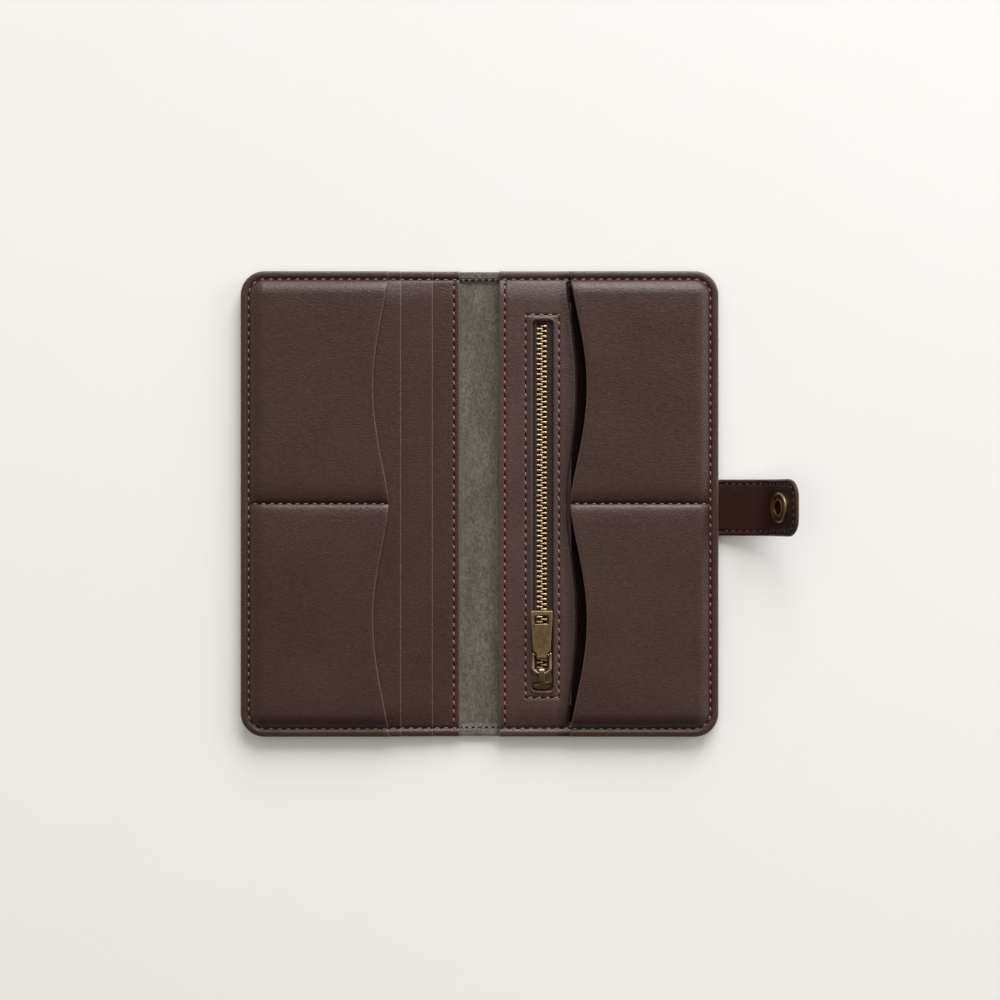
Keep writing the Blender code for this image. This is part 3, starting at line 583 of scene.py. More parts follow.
# near-black beads and discs that paint the shadow in needle holes and in the socket's well
HOLE_SHADOW = matt("needle_hole_painted_shadow", (0.012, 0.0025, 0.0025), (0.040, 0.009, 0.009), 0.4)
BRASS = brass("antique_brass", (0.20, 0.118, 0.038), (0.86, 0.68, 0.38), 0.505, 0.57)
# a darker copy of the antique brass for the slider: painted dark reflection of the zip's slot
SHADED_SLIDER_BRASS = brass("slider_brass_painted_shade", (0.075, 0.047, 0.022), (0.60, 0.45, 0.25), 0.51, 0.59, (0.28, 0.45))
# a lighter copy of the antique brass for the teeth: painted highlight from the window light
LIT_TEETH_BRASS = brass("zipper_teeth_brass_painted_highlight", (0.50, 0.30, 0.13), (1.0, 0.76, 0.46), 0.48, 0.55, (0.34, 0.48))
BOARD = plain_fibre("stiffener_board", (0.36, 0.31, 0.24), (0.50, 0.45, 0.36), 0.8)
FOAM = plain_fibre("padding_foam", (0.52, 0.50, 0.44), (0.66, 0.64, 0.58), 0.6)
FLOOR = matt("studio_floor", (0.865, 0.865, 0.850), (0.88, 0.88, 0.87), 90.0, 2.0, 0.8)


# --- which body carries a piece

HALF_NAME = {-1: "left", 1: "right"}
NEAR_RUN, FAR_RUN = (np.array([math.cos(tilt), 0, math.sin(tilt)]) for tilt in (STRAP_TILT, TIP_TILT))
NEAR_BLEND, FAR_BLEND = 2.6, 5.0  # reach to both sides of a fold, kept in FOLDS; nothing here blends the strap
FOLDS = {
    "left_fold": ("spine", "left_half", (-4.0, 0, FOLD_Z), (-12.0, 0, FOLD_Z)),
    "right_fold": ("right_half", "spine", (12.0, 0, FOLD_Z), (4.0, 0, FOLD_Z)),
    "strap_near": (
        "right_half", "strap_middle",
        STRAP_FOLD_1 - (NEAR_BLEND, 0, 0), STRAP_FOLD_1 + NEAR_BLEND * NEAR_RUN,
    ),
    "strap_far": (
        "strap_middle", "strap_tip",
        STRAP_FOLD_2 - FAR_BLEND * NEAR_RUN, STRAP_FOLD_2 + FAR_BLEND * FAR_RUN,
    ),
}


def put(obj, carrier, slot, *nodes):
    """Attaches a piece to the body that carries it, or bakes its place into its mesh when its carrier is a
    fold, and hides the nodes it replaces; the slot is not used.
    """
    if carrier in FOLDS:
        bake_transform(obj)
    else:
        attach(obj, carrier)
    if nodes:
        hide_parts(*nodes)


# --- grids over a half


OUTER = [*edge_steps(CUT_EDGE, 6), *np.arange(1.2, CORNER_R, 0.36), CORNER_R]  # columns' distances inwards
NEAR = [*edge_steps(FREE_EDGE, 4), 0.7, 1.1, 1.6, 2.1, 2.6, 3.2, 4.0, 5.0]  # the same, from a free edge
COLUMN_STEP = 2.6  # between columns, and between rows, where nothing needs more


def merged(values):
    """Sorted values without near-duplicates."""
    kept = []
    for value in sorted(values):
        if not kept or value - kept[-1] > 0.02:
            kept.append(value)
    return np.array(kept)


def around(value, reach=1.3, step=0.26):
    return [value + d for d in np.arange(-reach, reach + 0.01, step)]


def along_rows(extra=()):
    """Values of y: dense at both ends, at the divider seam, and at any extra places."""
    ends = [HALF_LENGTH - d for d in OUTER]
    middle = np.arange(2.8, HALF_LENGTH - CORNER_R - 1, COLUMN_STEP)
    half = [0, 0.25, 0.5, 0.8, 1.1, 1.5, 2.0, *middle, *ends]
    return merged([*half, *(-y for y in half), *extra])


def squeeze(across, half, radius):
    """How far columns are drawn together in a round corner: 1 before it, 0 at its end."""
    return np.sqrt(1 - np.clip((np.abs(across) - (half - radius)) / radius, 0, 1) ** 2)


def grid(rows, *columns):
    u = np.concatenate([np.broadcast_to(part, (len(rows), np.shape(part)[-1])) for part in columns], axis=1)
    return u, np.broadcast_to(rows[:, None], u.shape).copy()


def corner_columns(rows, distances):
    distances = np.array(distances)[::-1]
    return EDGE - CORNER_R + (CORNER_R - distances) * squeeze(rows[:, None], HALF_LENGTH, CORNER_R)


def full_grid(near, rows):
    """Columns from near(y) to the outline, with the corner's columns drawn together."""
    inner_end = EDGE - CORNER_R
    start = float(np.max(near(rows))) + NEAR[-1]
    share = (merged(np.arange(start, inner_end, COLUMN_STEP)) - start) / (inner_end - start)
    share = share[(share > 0) & (share < 0.995)]
    first = near(rows[:, None]) + np.array(NEAR)
    begin = first[:, -1:]
    return grid(rows, first, begin + (inner_end - begin) * share, corner_columns(rows, OUTER))


def tucked_grid(edge, next_edge, rows, extra=()):
    """Columns from a straight edge to the hidden end; narrower behind the next panel."""
    bar_end = next_edge + TUCK
    hidden = [*np.arange(edge + 6.2, INNER_END, COLUMN_STEP), bar_end, INNER_END]
    u, y = grid(rows, merged([*(edge + d for d in NEAR), *extra, *hidden]))
    return u, y * (1 - (1 - HIDDEN_Y / HALF_LENGTH) * smooth((u - bar_end) / 1.5))


def cell_middles(*grids):
    return [(values[:-1, :-1] + values[1:, 1:]) / 2 for values in grids]


# --- heights of the panels


def ripple(u, y):
    """The slight unevenness of padded leather."""
    return 0.07 * np.sin(u / 8.5 + 1.3) * np.sin(y / 12.0 + 0.4) + 0.05 * np.sin(y / 5.1 + u / 15.0)


def rim_relief(depth):
    """The bead between the outline and the seam, and the seam's groove."""
    return 0.34 * np.sin(math.pi * np.clip(depth / SEAM, 0, 1)) - groove(depth - SEAM, 0.5)


def climb(kind, depth, reach):
    """A panel's climb from its height at the rim to its height inside."""
    level = LEVELS[kind]
    return level["rim"] + (level["inner"] - level["rim"]) * ease((depth - SEAM) / reach) + rim_relief(depth)


def flat_top(kind, u, y):
    """Top of a tier, the base panel or the zip panel."""
    depth = outline_depth(u, y)
    inside = depth - SEAM
    z = climb(kind, depth, 10)
    if kind == "base":
        z = z - groove(u - BASE_SEAM_U, 0.3) * smooth(inside) + 0.1 * smooth((BASE_SEAM_U - u) / 1.5)
    if kind == "zip":
        z = z - groove(u - ZIP_EDGE_SEAM_U, 0.35) * smooth(inside)
        z = z - groove(box_distance(u, y), 0.3) + 0.25 * ease((-box_distance(u, y)) / 2.0)
        z = z + 0.5 * ripple(u, y) * smooth(inside / 8)
        z = z - 1.9 * smooth((u - roll_line(y)) / 2.4) * smooth(inside / 1.8)
    return z


def roll_line(y):
    """Where the zip panel starts to roll down into the coin half's front pocket."""
    return mouth(1, y) - MOUTH_GAP[0] - MOUTH_GAP[1] * np.sin(math.pi * scoop(y))


def box_distance(u, y):
    """Distance outside the seam round the zip, negative inside it."""
    du = np.maximum(ZIP_SEAM_U[0] - u, u - ZIP_SEAM_U[1])
    dy = np.maximum(ZIP_SEAM_Y[0] - y, y - ZIP_SEAM_Y[1])
    outside = np.hypot(np.maximum(du, 0), np.maximum(dy, 0))
    return np.where((du < 0) & (dy < 0), np.maximum(du, dy), outside)


def shoulder(distance):
    """A padded panel's rise from a seam: a round shoulder, then a gentle crown."""
    return 0.62 * ease(distance / 4.0) + 0.38 * ease(distance / 20.0)


def gape(side, u, y):
    """How far a mouth stands open, most in the middle of each scoop."""
    amount = np.where((side > 0) & (y < 0), 0.75, 0.25)
    away = np.maximum(u - mouth(side, y), 0)
    return amount * np.sin(math.pi * scoop(y)) ** 2 * np.exp(-away / 9.0)


def front_top(side, u, y):
    depth = outline_depth(u, y)
    inside = depth - SEAM
    pillow = shoulder(inside) * shoulder(np.abs(y))
    z = climb("front", depth, 6.5) + (PILLOW + ripple(u, y)) * pillow * smooth(inside * 4)
    z = z - (groove(y, DIVIDER_SEAM) + DIVIDER_VALLEY * np.exp(-np.abs(y) / 2.2)) * smooth(inside)
    return z + gape(side, u, y) * smooth(inside / 6) - 0.2 * (1 - ease((u - mouth(side, y)) / 2.5))


def thickness(kind, u, y):
    thin, thick = LEVELS[kind]["thick"]
    return thin + (thick - thin) * ease((outline_depth(u, y) - SEAM) / 6)


def visible_top(side, u, y):
    """Height of whatever panel is on top at a place."""
    front = u >= mouth(side, y)
    if side > 0:
        under = flat_top("zip", u, y)
    else:
        under = np.where(u >= TIER_3_EDGE, flat_top("tier_3", u, y), flat_top("base", u, y))
        under = np.where(u >= TIER_2_EDGE, flat_top("tier_2", u, y), under)
    return np.where(front, front_top(side, u, y), under)


def edge_falloff(depth, width):
    """1 on an edge, falling to 0 over a width."""
    return 1 - smooth(depth / width)


def round_off(top, bottom, middle, rounding):
    """A sheet's two faces, drawn together where rounding falls from 1 to 0 at an edge."""
    return middle + (top - middle) * rounding, middle - (middle - bottom) * rounding


def rounded_sheet(top, thick, rounding):
    return round_off(top, top - thick, top - thick / 2, rounding)


# --- panels


def front_pocket(side, name):
    u, y = full_grid(lambda v: mouth(side, v), along_rows())
    depth, past_mouth = outline_depth(u, y), u - mouth(side, y)
    inside = depth - SEAM
    folded = 0.35 * (1 - smooth((past_mouth - 1.0) / 3.0)) * smooth(inside / 6)
    rounding = quarter_round(depth, CUT_EDGE) * quarter_round(past_mouth, FREE_EDGE)
    faces = rounded_sheet(front_top(side, u, y), thickness("front", u, y) + folded, rounding)
    wear_and_shade = 0.75 * edge_falloff(past_mouth, 0.55) + 0.6 * edge_falloff(depth, 0.8)
    # painted shade along each pocket's lower seam: the divider for the upper pocket, the rim seam for the lower
    # one
    lower_seam_shade = edge_falloff(np.where(y > 0, y, y + HALF_LENGTH - SEAM), 11.0)
    wear_and_shade = wear_and_shade - LOWER_SEAM_SHADE * lower_seam_shade * smooth(inside * 2) * smooth(past_mouth)
    piece = slab(f"{name}_leather", u, y, *faces, LEATHER, side=side, wear_and_shade=wear_and_shade)
    put(piece, f"{HALF_NAME[side]}_half", "dark_leather", name)


def tucked_panel(node, kind, edge, next_edge, surface, slot, side, extra=(), rows=None, hole=None):
    rows = along_rows() if rows is None else rows
    u, y = tucked_grid(edge, next_edge, rows, extra)
    end_depth = HALF_LENGTH - np.abs(np.broadcast_to(rows[:, None], u.shape))
    rounding = quarter_round(end_depth, CUT_EDGE) * quarter_round(u - edge, FREE_EDGE)
    faces = rounded_sheet(flat_top(kind, u, y), thickness(kind, u, y), rounding)
    keep = None
    if hole is not None:
        middle_u, middle_y = cell_middles(u, y)
        (u0, u1), (y0, y1) = hole
        keep = ~((middle_u > u0) & (middle_u < u1) & (middle_y > y0) & (middle_y < y1))
    wear_and_shade = 0.75 * edge_falloff(u - edge, 0.55) + 0.6 * edge_falloff(end_depth, 0.8)
    if kind == "zip":
        # painted shadow: the zip panel darkens towards the coin half's pocket mouth, where the pocket's raised
        # edge shades it
        wear_and_shade = wear_and_shade - 0.85 * smooth((u - roll_line(y) + 4.5) / 6.0)
    piece = slab(f"{node}_leather", u, y, *faces, surface, keep, side, wear_and_shade=wear_and_shade)
    put(piece, HALF_NAME[side] + "_half", slot, node)


def card_panels():
    edges = (BASE_EDGE, TIER_3_EDGE, TIER_2_EDGE, FRONT_EDGE)
    for i, kind in enumerate(("base", "tier_3", "tier_2")):
        extra = [BASE_SEAM_U + d for d in np.arange(-1.2, 1.3, 0.24)] if kind == "base" else ()
        node = "card_base_panel" if kind == "base" else f"card_{kind}"
        tucked_panel(node, kind, edges[i], edges[i + 1], LEATHER, "dark_leather", -1, extra)
    front_pocket(-1, "card_front_pocket")


def zip_panel():
    columns = [*around(ZIP_EDGE_SEAM_U), *around(ZIP_SEAM_U[0]), *around(ZIP_SEAM_U[1]), *SLOT_U]
    columns += list(np.arange(FRONT_EDGE - 3.2, FRONT_EDGE + SCOOPS[1] + 1.0, 0.4))
    rows = along_rows([*around(ZIP_SEAM_Y[0]), *around(ZIP_SEAM_Y[1]), *SLOT_Y, *np.arange(-93, 93.1, 1.5)])
    tucked_panel(
        "zip_panel", "zip", BASE_EDGE, FRONT_EDGE, ZIP_LEATHER, "zip_panel_leather", 1, columns, rows,
        (SLOT_U, SLOT_Y),
    )
    path = rounded([(u, y, 1.6) for u, y in corners_of(SLOT_U, SLOT_Y)])
    level = LEVELS["zip"]["inner"] + 0.08
    bead = [(-0.75 + 0.78 * x, level + 0.5 * y) for x, y in circle(1.0, count=16)]
    piece = sweep("zip_slot_turned_edge", path, lambda u, y: bead, ZIP_LEATHER, True)
    put(piece, "right_half", "zip_panel_leather")
    front_pocket(1, "coin_front_pocket")
    mouth_lining()


def mouth_lining():
    """The fabric that lines the zipped half's front pocket, seen in its mouths; near-black to paint the shadow
    inside the pocket.
    """
    reach, half = 15.0, 89.5
    away, y = np.meshgrid(np.linspace(0, reach, 26), np.linspace(-half, half, 181))
    u = roll_line(y) + 1.35 + 0.3 * edge_falloff(half - np.abs(y), 9.0) + away
    top = flat_top("zip", u, y) + 0.2 * smooth(away / 0.6) - 0.06
    piece = slab("coin_pocket_mouth_lining_painted_shadow", u, y, top, top - 0.2, SHADOW_LINING)
    put(piece, "right_half", "pocket_lining")


# --- covers, rim, linings


def strap_notch(side, y):
    """1 where the strap passes between the layers of the zipped half's edge."""
    if side < 0:
        return np.zeros_like(y)
    return 1 - smooth((np.abs(y - STRAP_Y) - STRAP_HALF - 0.2) / 0.6)


def dimple(side, u, y):
    """How far the card half's cover is pressed in around the stud."""
    if side > 0:
        return np.zeros_like(u)
    away = np.hypot(u + STUD_X, y - STRAP_Y)
    return 1.9 * edge_falloff(away - DIMPLE_R, 0.75)


def cover(side):
    word = HALF_NAME[side]
    if side < 0:
        rows, stud_columns = along_rows(STRAP_Y + STUD_ZONE), -STUD_X + STUD_ZONE
    else:
        rows = along_rows([*around(STRAP_Y + STRAP_HALF + 0.5), *around(STRAP_Y - STRAP_HALF - 0.5)])
        stud_columns = np.zeros(0)
    inner_end = EDGE - CORNER_R
    inner = stud_columns[stud_columns < inner_end]
    inside = merged([0.0, *np.arange(0.8, 13.0, 0.8), *np.arange(15.0, inner_end, COLUMN_STEP), *inner])
    outer = merged([*OUTER, *(EDGE - stud_columns[stud_columns >= inner_end])])
    u, y = grid(rows, inside[inside < inner_end - 0.1], corner_columns(rows, outer))

    depth, press = outline_depth(u, y), dimple(side, u, y)
    lip = 1.5 + 0.9 * smooth(u - SPINE_HALF) - 1.2 * strap_notch(side, y) * smooth(u - EDGE + 6)
    top = np.maximum(1.0 + (lip - 1.0) * edge_falloff(depth - RIM, 0.5), press + 0.9)
    bottom = groove(depth - SEAM, 0.42) + 0.06 * (1 - ease((depth - SEAM) / 7)) + press
    middle = np.minimum(1.15, (top + bottom) / 2 + 0.2)
    faces = round_off(top, bottom, middle, quarter_round(depth, 1.5))
    wear_and_shade = 0.35 * edge_falloff(depth, 1.6)
    piece = slab(f"{word}_cover_leather", u, y, *faces, LEATHER, side=side, wear_and_shade=wear_and_shade)
    nodes = ("left_cover", "spine_cover") if side < 0 else ("right_cover",)
    put(piece, f"{word}_fold", "dark_leather", *nodes)


def quarter_turn(u, y, radius, steps):
    """A corner's arc from straight below its centre to straight beside it."""
    turn = [math.pi / 2 * k / steps for k in range(steps + 1)]
    return [(u + radius * math.sin(a), y - radius * math.cos(a)) for a in turn]


def mirrored(path):
    """A path carried on by its own mirror image across y = 0."""
    return path + [(u, -y) for u, y in path[::-1]]


def outline_path(inset, start, marks=()):
    """Points along a half's outline at an inset, anticlockwise from the spine's lower end."""
    far, top, radius = EDGE - inset, HALF_LENGTH - inset, CORNER_R - inset
    lower = [(u, -top) for u in merged([start, *marks, far - radius])]
    lower += quarter_turn(far - radius, radius - top, radius, 28)[1:]
    side_run = np.linspace(radius - top, top - radius, 70)
    return mirrored(lower + [(far, y) for y in side_run[1:35]])


def rim_filler(side):
    """The turned edge between the cover and the panels: two rolled plies with a crease."""
    word = HALF_NAME[side]
    kinds, limits = ("front", "zip"), (FRONT_EDGE,)
    if side < 0:
        kinds, limits = ("front", "tier_2", "tier_3", "base"), (FRONT_EDGE, TIER_2_EDGE, TIER_3_EDGE)

    def section(u, y):
        kind = next((kind for kind, limit in zip(kinds, limits) if u > limit + TUCK), kinds[-1])
        notch = float(strap_notch(side, y)) if u > EDGE - 8 else 0.0
        low, high = 2.42 + 0.75 * notch, LEVELS[kind]["rim"] - LEVELS[kind]["thick"][0] + 0.04
        outer = []
        for share in np.linspace(0, 1, 19):
            roll = abs(math.sin(2 * math.pi * share)) ** 0.55
            outer.append((0.34 - 0.3 * roll, low + (high - low) * share))
        return [*outer, (RIM, high), (RIM, low)]

    marks = [limit + TUCK + d for limit in limits for d in (0.0, 0.1)]
    path = outline_path(0.0, BASE_EDGE, marks)
    piece = sweep(f"{word}_rim_filler_leather", path, section, LEATHER, side=side, sharp=60)
    put(piece, f"{word}_half", "dark_leather", f"{word}_rim_filler")


def suede_sheet(side):
    """The lining: from the spine's middle, up over the board and on behind the panels."""
    word = HALF_NAME[side]
    columns = merged([*np.arange(0, 14.1, 0.7), *np.arange(16, INNER_END, 3.0), INNER_END])
    u, y = np.meshgrid(columns, np.linspace(-HIDDEN_Y, HIDDEN_Y, 73))
    lift = smooth((u - 6.2) / 4.6)
    wave = 0.10 * np.sin(y / 9.0 + side) * (1 - lift) * np.sin(math.pi * u / SPINE_HALF / 2) ** 2
    bottom = 1.3 + 2.1 * lift + wave
    top = bottom + 0.6 - 0.3 * lift
    ends = quarter_round(HIDDEN_Y - np.abs(y) + 0.05, 0.4)
    faces = round_off(top, bottom, (top + bottom) / 2, ends)
    piece = slab(f"{word}_suede_lining", u, y, *faces, SUEDE, side=side)
    nodes = ("left_lining", "spine_lining") if side < 0 else ("bill_lining",)
    put(piece, f"{word}_fold", "suede_lining", *nodes)


def spine_edge(depth):
    """Height of the lining towards an end of the spine, and how far its turned-in edge raises it."""
    fall = edge_falloff(depth - 2.4, 3.2)
    return 1.7 + 1.75 * fall - groove(depth - SEAM, 0.3, 0.5), fall


def spine_rims(side):
    """The lining's ribbed, turned-in edge at both ends of the spine."""
    word = HALF_NAME[side]
    columns = np.arange(0, BASE_EDGE + 0.45, 0.2)
    u, depth = np.meshgrid(columns, merged([*edge_steps(1.1, 7), *np.arange(1.3, 6.2, 0.3)]))
    top, fall = spine_edge(depth)
    top = top + 0.055 * np.sin(2 * math.pi * u / 0.85) * smooth(depth) * fall
    faces = round_off(top, 1.52, 2.35 * fall + 1.8 * (1 - fall), quarter_round(depth, 1.1))
    for end, place in ENDS:
        piece = slab(f"{word}_spine_rim_{place}", u, end * (HALF_LENGTH - depth), *faces, SUEDE, side=side)
        put(piece, f"{word}_fold", "suede_lining")


def inner_layers(side):
    """Foam under the cover, and the fabric back of the coin pocket."""
    word = HALF_NAME[side]
    columns = merged([*np.arange(PADDING_START, INNER_END, 2.2), INNER_END])
    u, y = np.meshgrid(columns, np.linspace(-HIDDEN_Y, HIDDEN_Y, 91))
    edge = np.minimum(HIDDEN_Y - np.abs(y), np.minimum(u - PADDING_START, INNER_END - u))
    foam_z, puff = 1.75, 0.5 * quarter_round(edge + 0.08, 1.2)
    keep = None
    if side < 0:
        middle_u, middle_y = cell_middles(u, y)
        keep = np.hypot(middle_u + STUD_X, middle_y - STRAP_Y) > FOAM_HOLE_R
    piece = slab(f"{word}_foam", u, y, foam_z + puff, foam_z - puff, FOAM, keep, side)
    put(piece, f"{word}_half", "foam", f"{word}_padding")
    if side > 0:
        sag = 0.12 * np.sin(u / 11) * np.sin(y / 17)
        back = slab("coin_pocket_fabric", u, y, 4.75 + sag, 4.45 + sag, LINING)
        put(back, "right_half", "pocket_lining", "coin_pocket_back")


# --- stitching


def run_length(path):
    path = np.asarray(path, float)
    return np.concatenate([[0], np.cumsum(np.linalg.norm(np.diff(path, axis=0), axis=1))])


def on_path(s, run, path):
    """The places at distances s along a path whose run lengths are run."""
    return np.interp(s, run, path[:, 0]), np.interp(s, run, path[:, 1])


def heading(s, run, path, step):
    """The path's unit direction at distances s, taken over a step to both sides."""
    a0, b0 = on_path(np.clip(s - step, 0, run[-1]), run, path)
    a1, b1 = on_path(np.clip(s + step, 0, run[-1]), run, path)
    size = np.hypot(a1 - a0, b1 - b0)
    return (a1 - a0) / size, (b1 - b0) / size


def shifted(faces, start):
    return [[i + start for i in face] for face in faces]


def beads(path, centres, height, length, half_width, half_height, lift, slant, sign):
    """Short rounded lengths of thread laid along a path; returns points and faces."""
    path = np.asarray(path, float)
    run = run_length(path)
    rings, sides = 9, 8
    t = np.linspace(-1, 1, rings)
    angle = 2 * math.pi * np.arange(sides) / sides
    u, y = on_path(np.clip(centres[:, None] + t * length / 2, 0, run[-1]), run, path)
    du, dy = (part[:, None, None] for part in heading(centres, run, path, 0.3))
    full = np.sqrt(1 - 0.94 * t**4)[None, :, None]
    offset = (t * length / 2 * math.tan(slant))[None, :, None] + half_width * full * np.cos(angle)
    arch = (lift * (1 - 1.25 * t**2))[None, :, None]
    z = height(u, y)[:, :, None] + sign * (arch + half_height * full * np.sin(angle))
    points = np.stack([u[:, :, None] - dy * offset, y[:, :, None] + du * offset, z], -1)
    one = tube_faces(rings, sides)
    faces = [face for k in range(len(centres)) for face in shifted(one, k * rings * sides)]
    return points.reshape(-1, 3), faces


def stitching(name, path, height, sign=1, warp=None, side=1, pitch=STITCH_PITCH, thread=THREAD):
    """A seam: slanted stitches with a dark bead at the needle hole between each two, painting the hole's
    shadow.
    """
    total = run_length(path)[-1]
    count = max(int(round(total / pitch)), 1)
    step = total / count
    middles = (np.arange(count) + 0.5) * step
    ends = np.clip(np.arange(count + 1) * step, 0.8, total - 0.8)
    slant = math.radians(9) * side
    stitch = beads(path, middles, height, step * 0.52, 0.31, 0.24, 0.22, slant, sign)
    # painted shadow: dark beads over the needle holes
    hole = beads(path, ends, height, step * 0.58, 0.52, 0.10, 0.06, slant, sign)
    verts = np.concatenate([stitch[0], hole[0]]) * np.array([side, 1, 1])
    faces = stitch[1] + shifted(hole[1], len(stitch[0]))
    indices = [0] * len(stitch[1]) + [1] * len(hole[1])
    return mesh_object(name, warp(verts) if warp else verts, faces, [thread, HOLE_SHADOW], 60, indices)


def straight(first, second, steps=40):
    return list(zip(np.linspace(first[0], second[0], steps), np.linspace(first[1], second[1], steps)))


def half_seams(side):
    word = HALF_NAME[side]
    body, fold = f"{word}_half", f"{word}_fold"
    divider_node = {-1: "card_divider_thread", 1: "coin_divider_thread"}[side]
    seam_u = {-1: BASE_SEAM_U, 1: ZIP_EDGE_SEAM_U}[side]
    panel_node = {-1: "base_panel_thread", 1: "zip_panel_thread"}[side]

    def top(u, y):
        return visible_top(side, u, y)

    def seam(name, path, height, carrier, *nodes, **options):
        piece = stitching(f"{word}_{name}", path, height, side=side, **options)
        put(piece, carrier, "thread", *nodes)

    edge_path = outline_path(SEAM, BASE_EDGE + 0.3, np.arange(10, 86, 1.0))
    seam("edge_stitches", edge_path, top, body, f"{word}_edge_thread")
    outside_path = outline_path(SEAM, 0.0, np.arange(1, 86, 1.0))
    seam("outside_stitches", outside_path, lambda u, y: np.full_like(u, 0.46), fold, sign=-1)
    divider = straight((FRONT_EDGE + 1.0, 0.0), (EDGE - SEAM - 1.0, 0.0))
    seam("divider_stitches", divider, top, body, divider_node)
    last = HALF_LENGTH - SEAM - 1.6
    seam("spine_side_stitches", straight((seam_u, -last), (seam_u, last), 200), top, body, panel_node)
    for end, place in ENDS:
        y = end * (HALF_LENGTH - SEAM)
        seam(
            f"spine_stitches_{place}", straight((0.0, y), (BASE_EDGE - 0.1, y)),
            lambda u, y: spine_edge(HALF_LENGTH - np.abs(y))[0], fold, pitch=SPINE_PITCH,
        )


def zip_box_seam():
    corners = corners_of(ZIP_SEAM_U, ZIP_SEAM_Y)
    path = []
    for first, second in zip(corners, corners[1:] + corners[:1]):
        path += straight(first, second, 60)[:-1]
    path.append(corners[0])
    piece = stitching("zip_box_stitches", path, lambda u, y: visible_top(1, u, y))
    put(piece, "right_half", "thread", "zip_box_thread")


# --- zip


def tooth_plan():
    """Half a tooth's outline, mirrored: its root at 0, a waist, and the head towards the chain's middle."""
    half = [(0.0, 0.44, 0.12), (1.05, 0.44, 0.2), (1.35, 0.31, 0.1), (2.66, 0.35, 0.28)]
    return np.array(rounded([(a, -b, radius) for a, b, radius in half] + half[::-1], 3))


def zipper():
    bottom, top = SLOT_Y[0] + 0.3, SLOT_Y[1] - 1.2
    count = int((top - bottom) / TOOTH_PITCH)
    plan, centre = tooth_plan(), np.array([1.2, 0.0])
    low, high = TEETH_Z
    levels = [
        (low, 0.86), (low + 0.2, 1.0), (high - 0.5, 1.0), (high - 0.22, 0.9), (high - 0.06, 0.7), (high, 0.42),
    ]
    one = tube_faces(len(levels), len(plan))
    for side, word in HALF_NAME.items():
        verts, faces = [], []
        for k in range(count):
            y0 = bottom + 0.85 + (TOOTH_PITCH / 2 if side > 0 else 0.0) + k * TOOTH_PITCH
            faces += shifted(one, len(verts))
            for z, grow in levels:
                for a, b in centre + (plan - centre) * grow:
                    verts.append((CHAIN_X + side * (CHAIN_HALF - a), y0 + b, z))
        piece = mesh_object(f"zipper_teeth_{word}_brass", verts, faces, LIT_TEETH_BRASS, 35)
        put(piece, "right_half", "antique_brass", f"zipper_teeth_{word}")
        zip_tape(side, word)


def zip_tape(side, word):
    """The woven tape, and the cord along its edge that the teeth grip."""
    half = 82.0
    inner, outer = CHAIN_X + side * (CHAIN_HALF - 0.3), CHAIN_X + side * (CHAIN_HALF + 9.9)
    x, y = np.meshgrid(np.linspace(inner, outer, 27), np.arange(-half, half + 0.01, 0.5))
    top = TAPE_Z[1] + 0.045 * np.sin(2 * math.pi * (y + 0.6 * np.abs(x - inner)))
    piece = slab(f"zipper_tape_{word}_woven", x, y, top, np.full_like(top, TAPE_Z[0]), TAPE)
    put(piece, "right_half", "zipper_tape", f"zipper_tape_{word}")
    x0 = CHAIN_X + side * (CHAIN_HALF + 0.15)
    rings = np.arange(SLOT_Y[0] - 1.5, SLOT_Y[1] + 1.5, 0.25)
    verts = []
    for y in rings:
        wide = 0.42 + 0.05 * math.sin(2 * math.pi * y / 0.9)
        verts += [(x0 + a, y, TAPE_Z[1] + 0.05 + b) for a, b in circle(wide, count=12)]
    cord = mesh_object(f"zipper_cord_{word}", verts, tube_faces(len(rings), 12), TAPE, 60)
    put(cord, "right_half", "zipper_tape")


SLIDER_Y = (-75.5, -65.5)
UPPER_PLATE_Z = (7.75, 8.5)
LOWER_PLATE_Z = (5.1, 5.6)
BRIDGE_Y = (-73.5, -66.4)
BRIDGE_TOP = 11.0
LINK_Y = (-68.8, -61.4)
LINK_Z = 9.3
LINK_HALF = 3.5
LINK_R = 0.65
BAR_R = 0.42
TAB_END = -43.4
TAB_Z = (9.8, 10.75)


def slider_outline(inset=0.0):
    half, nose = 4.15 - inset, 2.7 - inset
    low, high = SLIDER_Y[0] + inset, SLIDER_Y[1] - 1.3 - inset
    return rounded([
        (CHAIN_X - half, low, 3.4), (CHAIN_X + half, low, 3.4), (CHAIN_X + half, low + 5.0, 3.0),
        (CHAIN_X + nose, high, 1.2), (CHAIN_X - nose, high, 1.2), (CHAIN_X - half, low + 5.0, 3.0),
    ])


def upright(x):
    """Stands a (y, z) outline up in the YZ plane at x; heights then run along X."""
    return Matrix.Translation((x, 0, 0)) @ Matrix(((0, 0, 1, 0), (1, 0, 0, 0), (0, 1, 0, 0), (0, 0, 0, 1)))


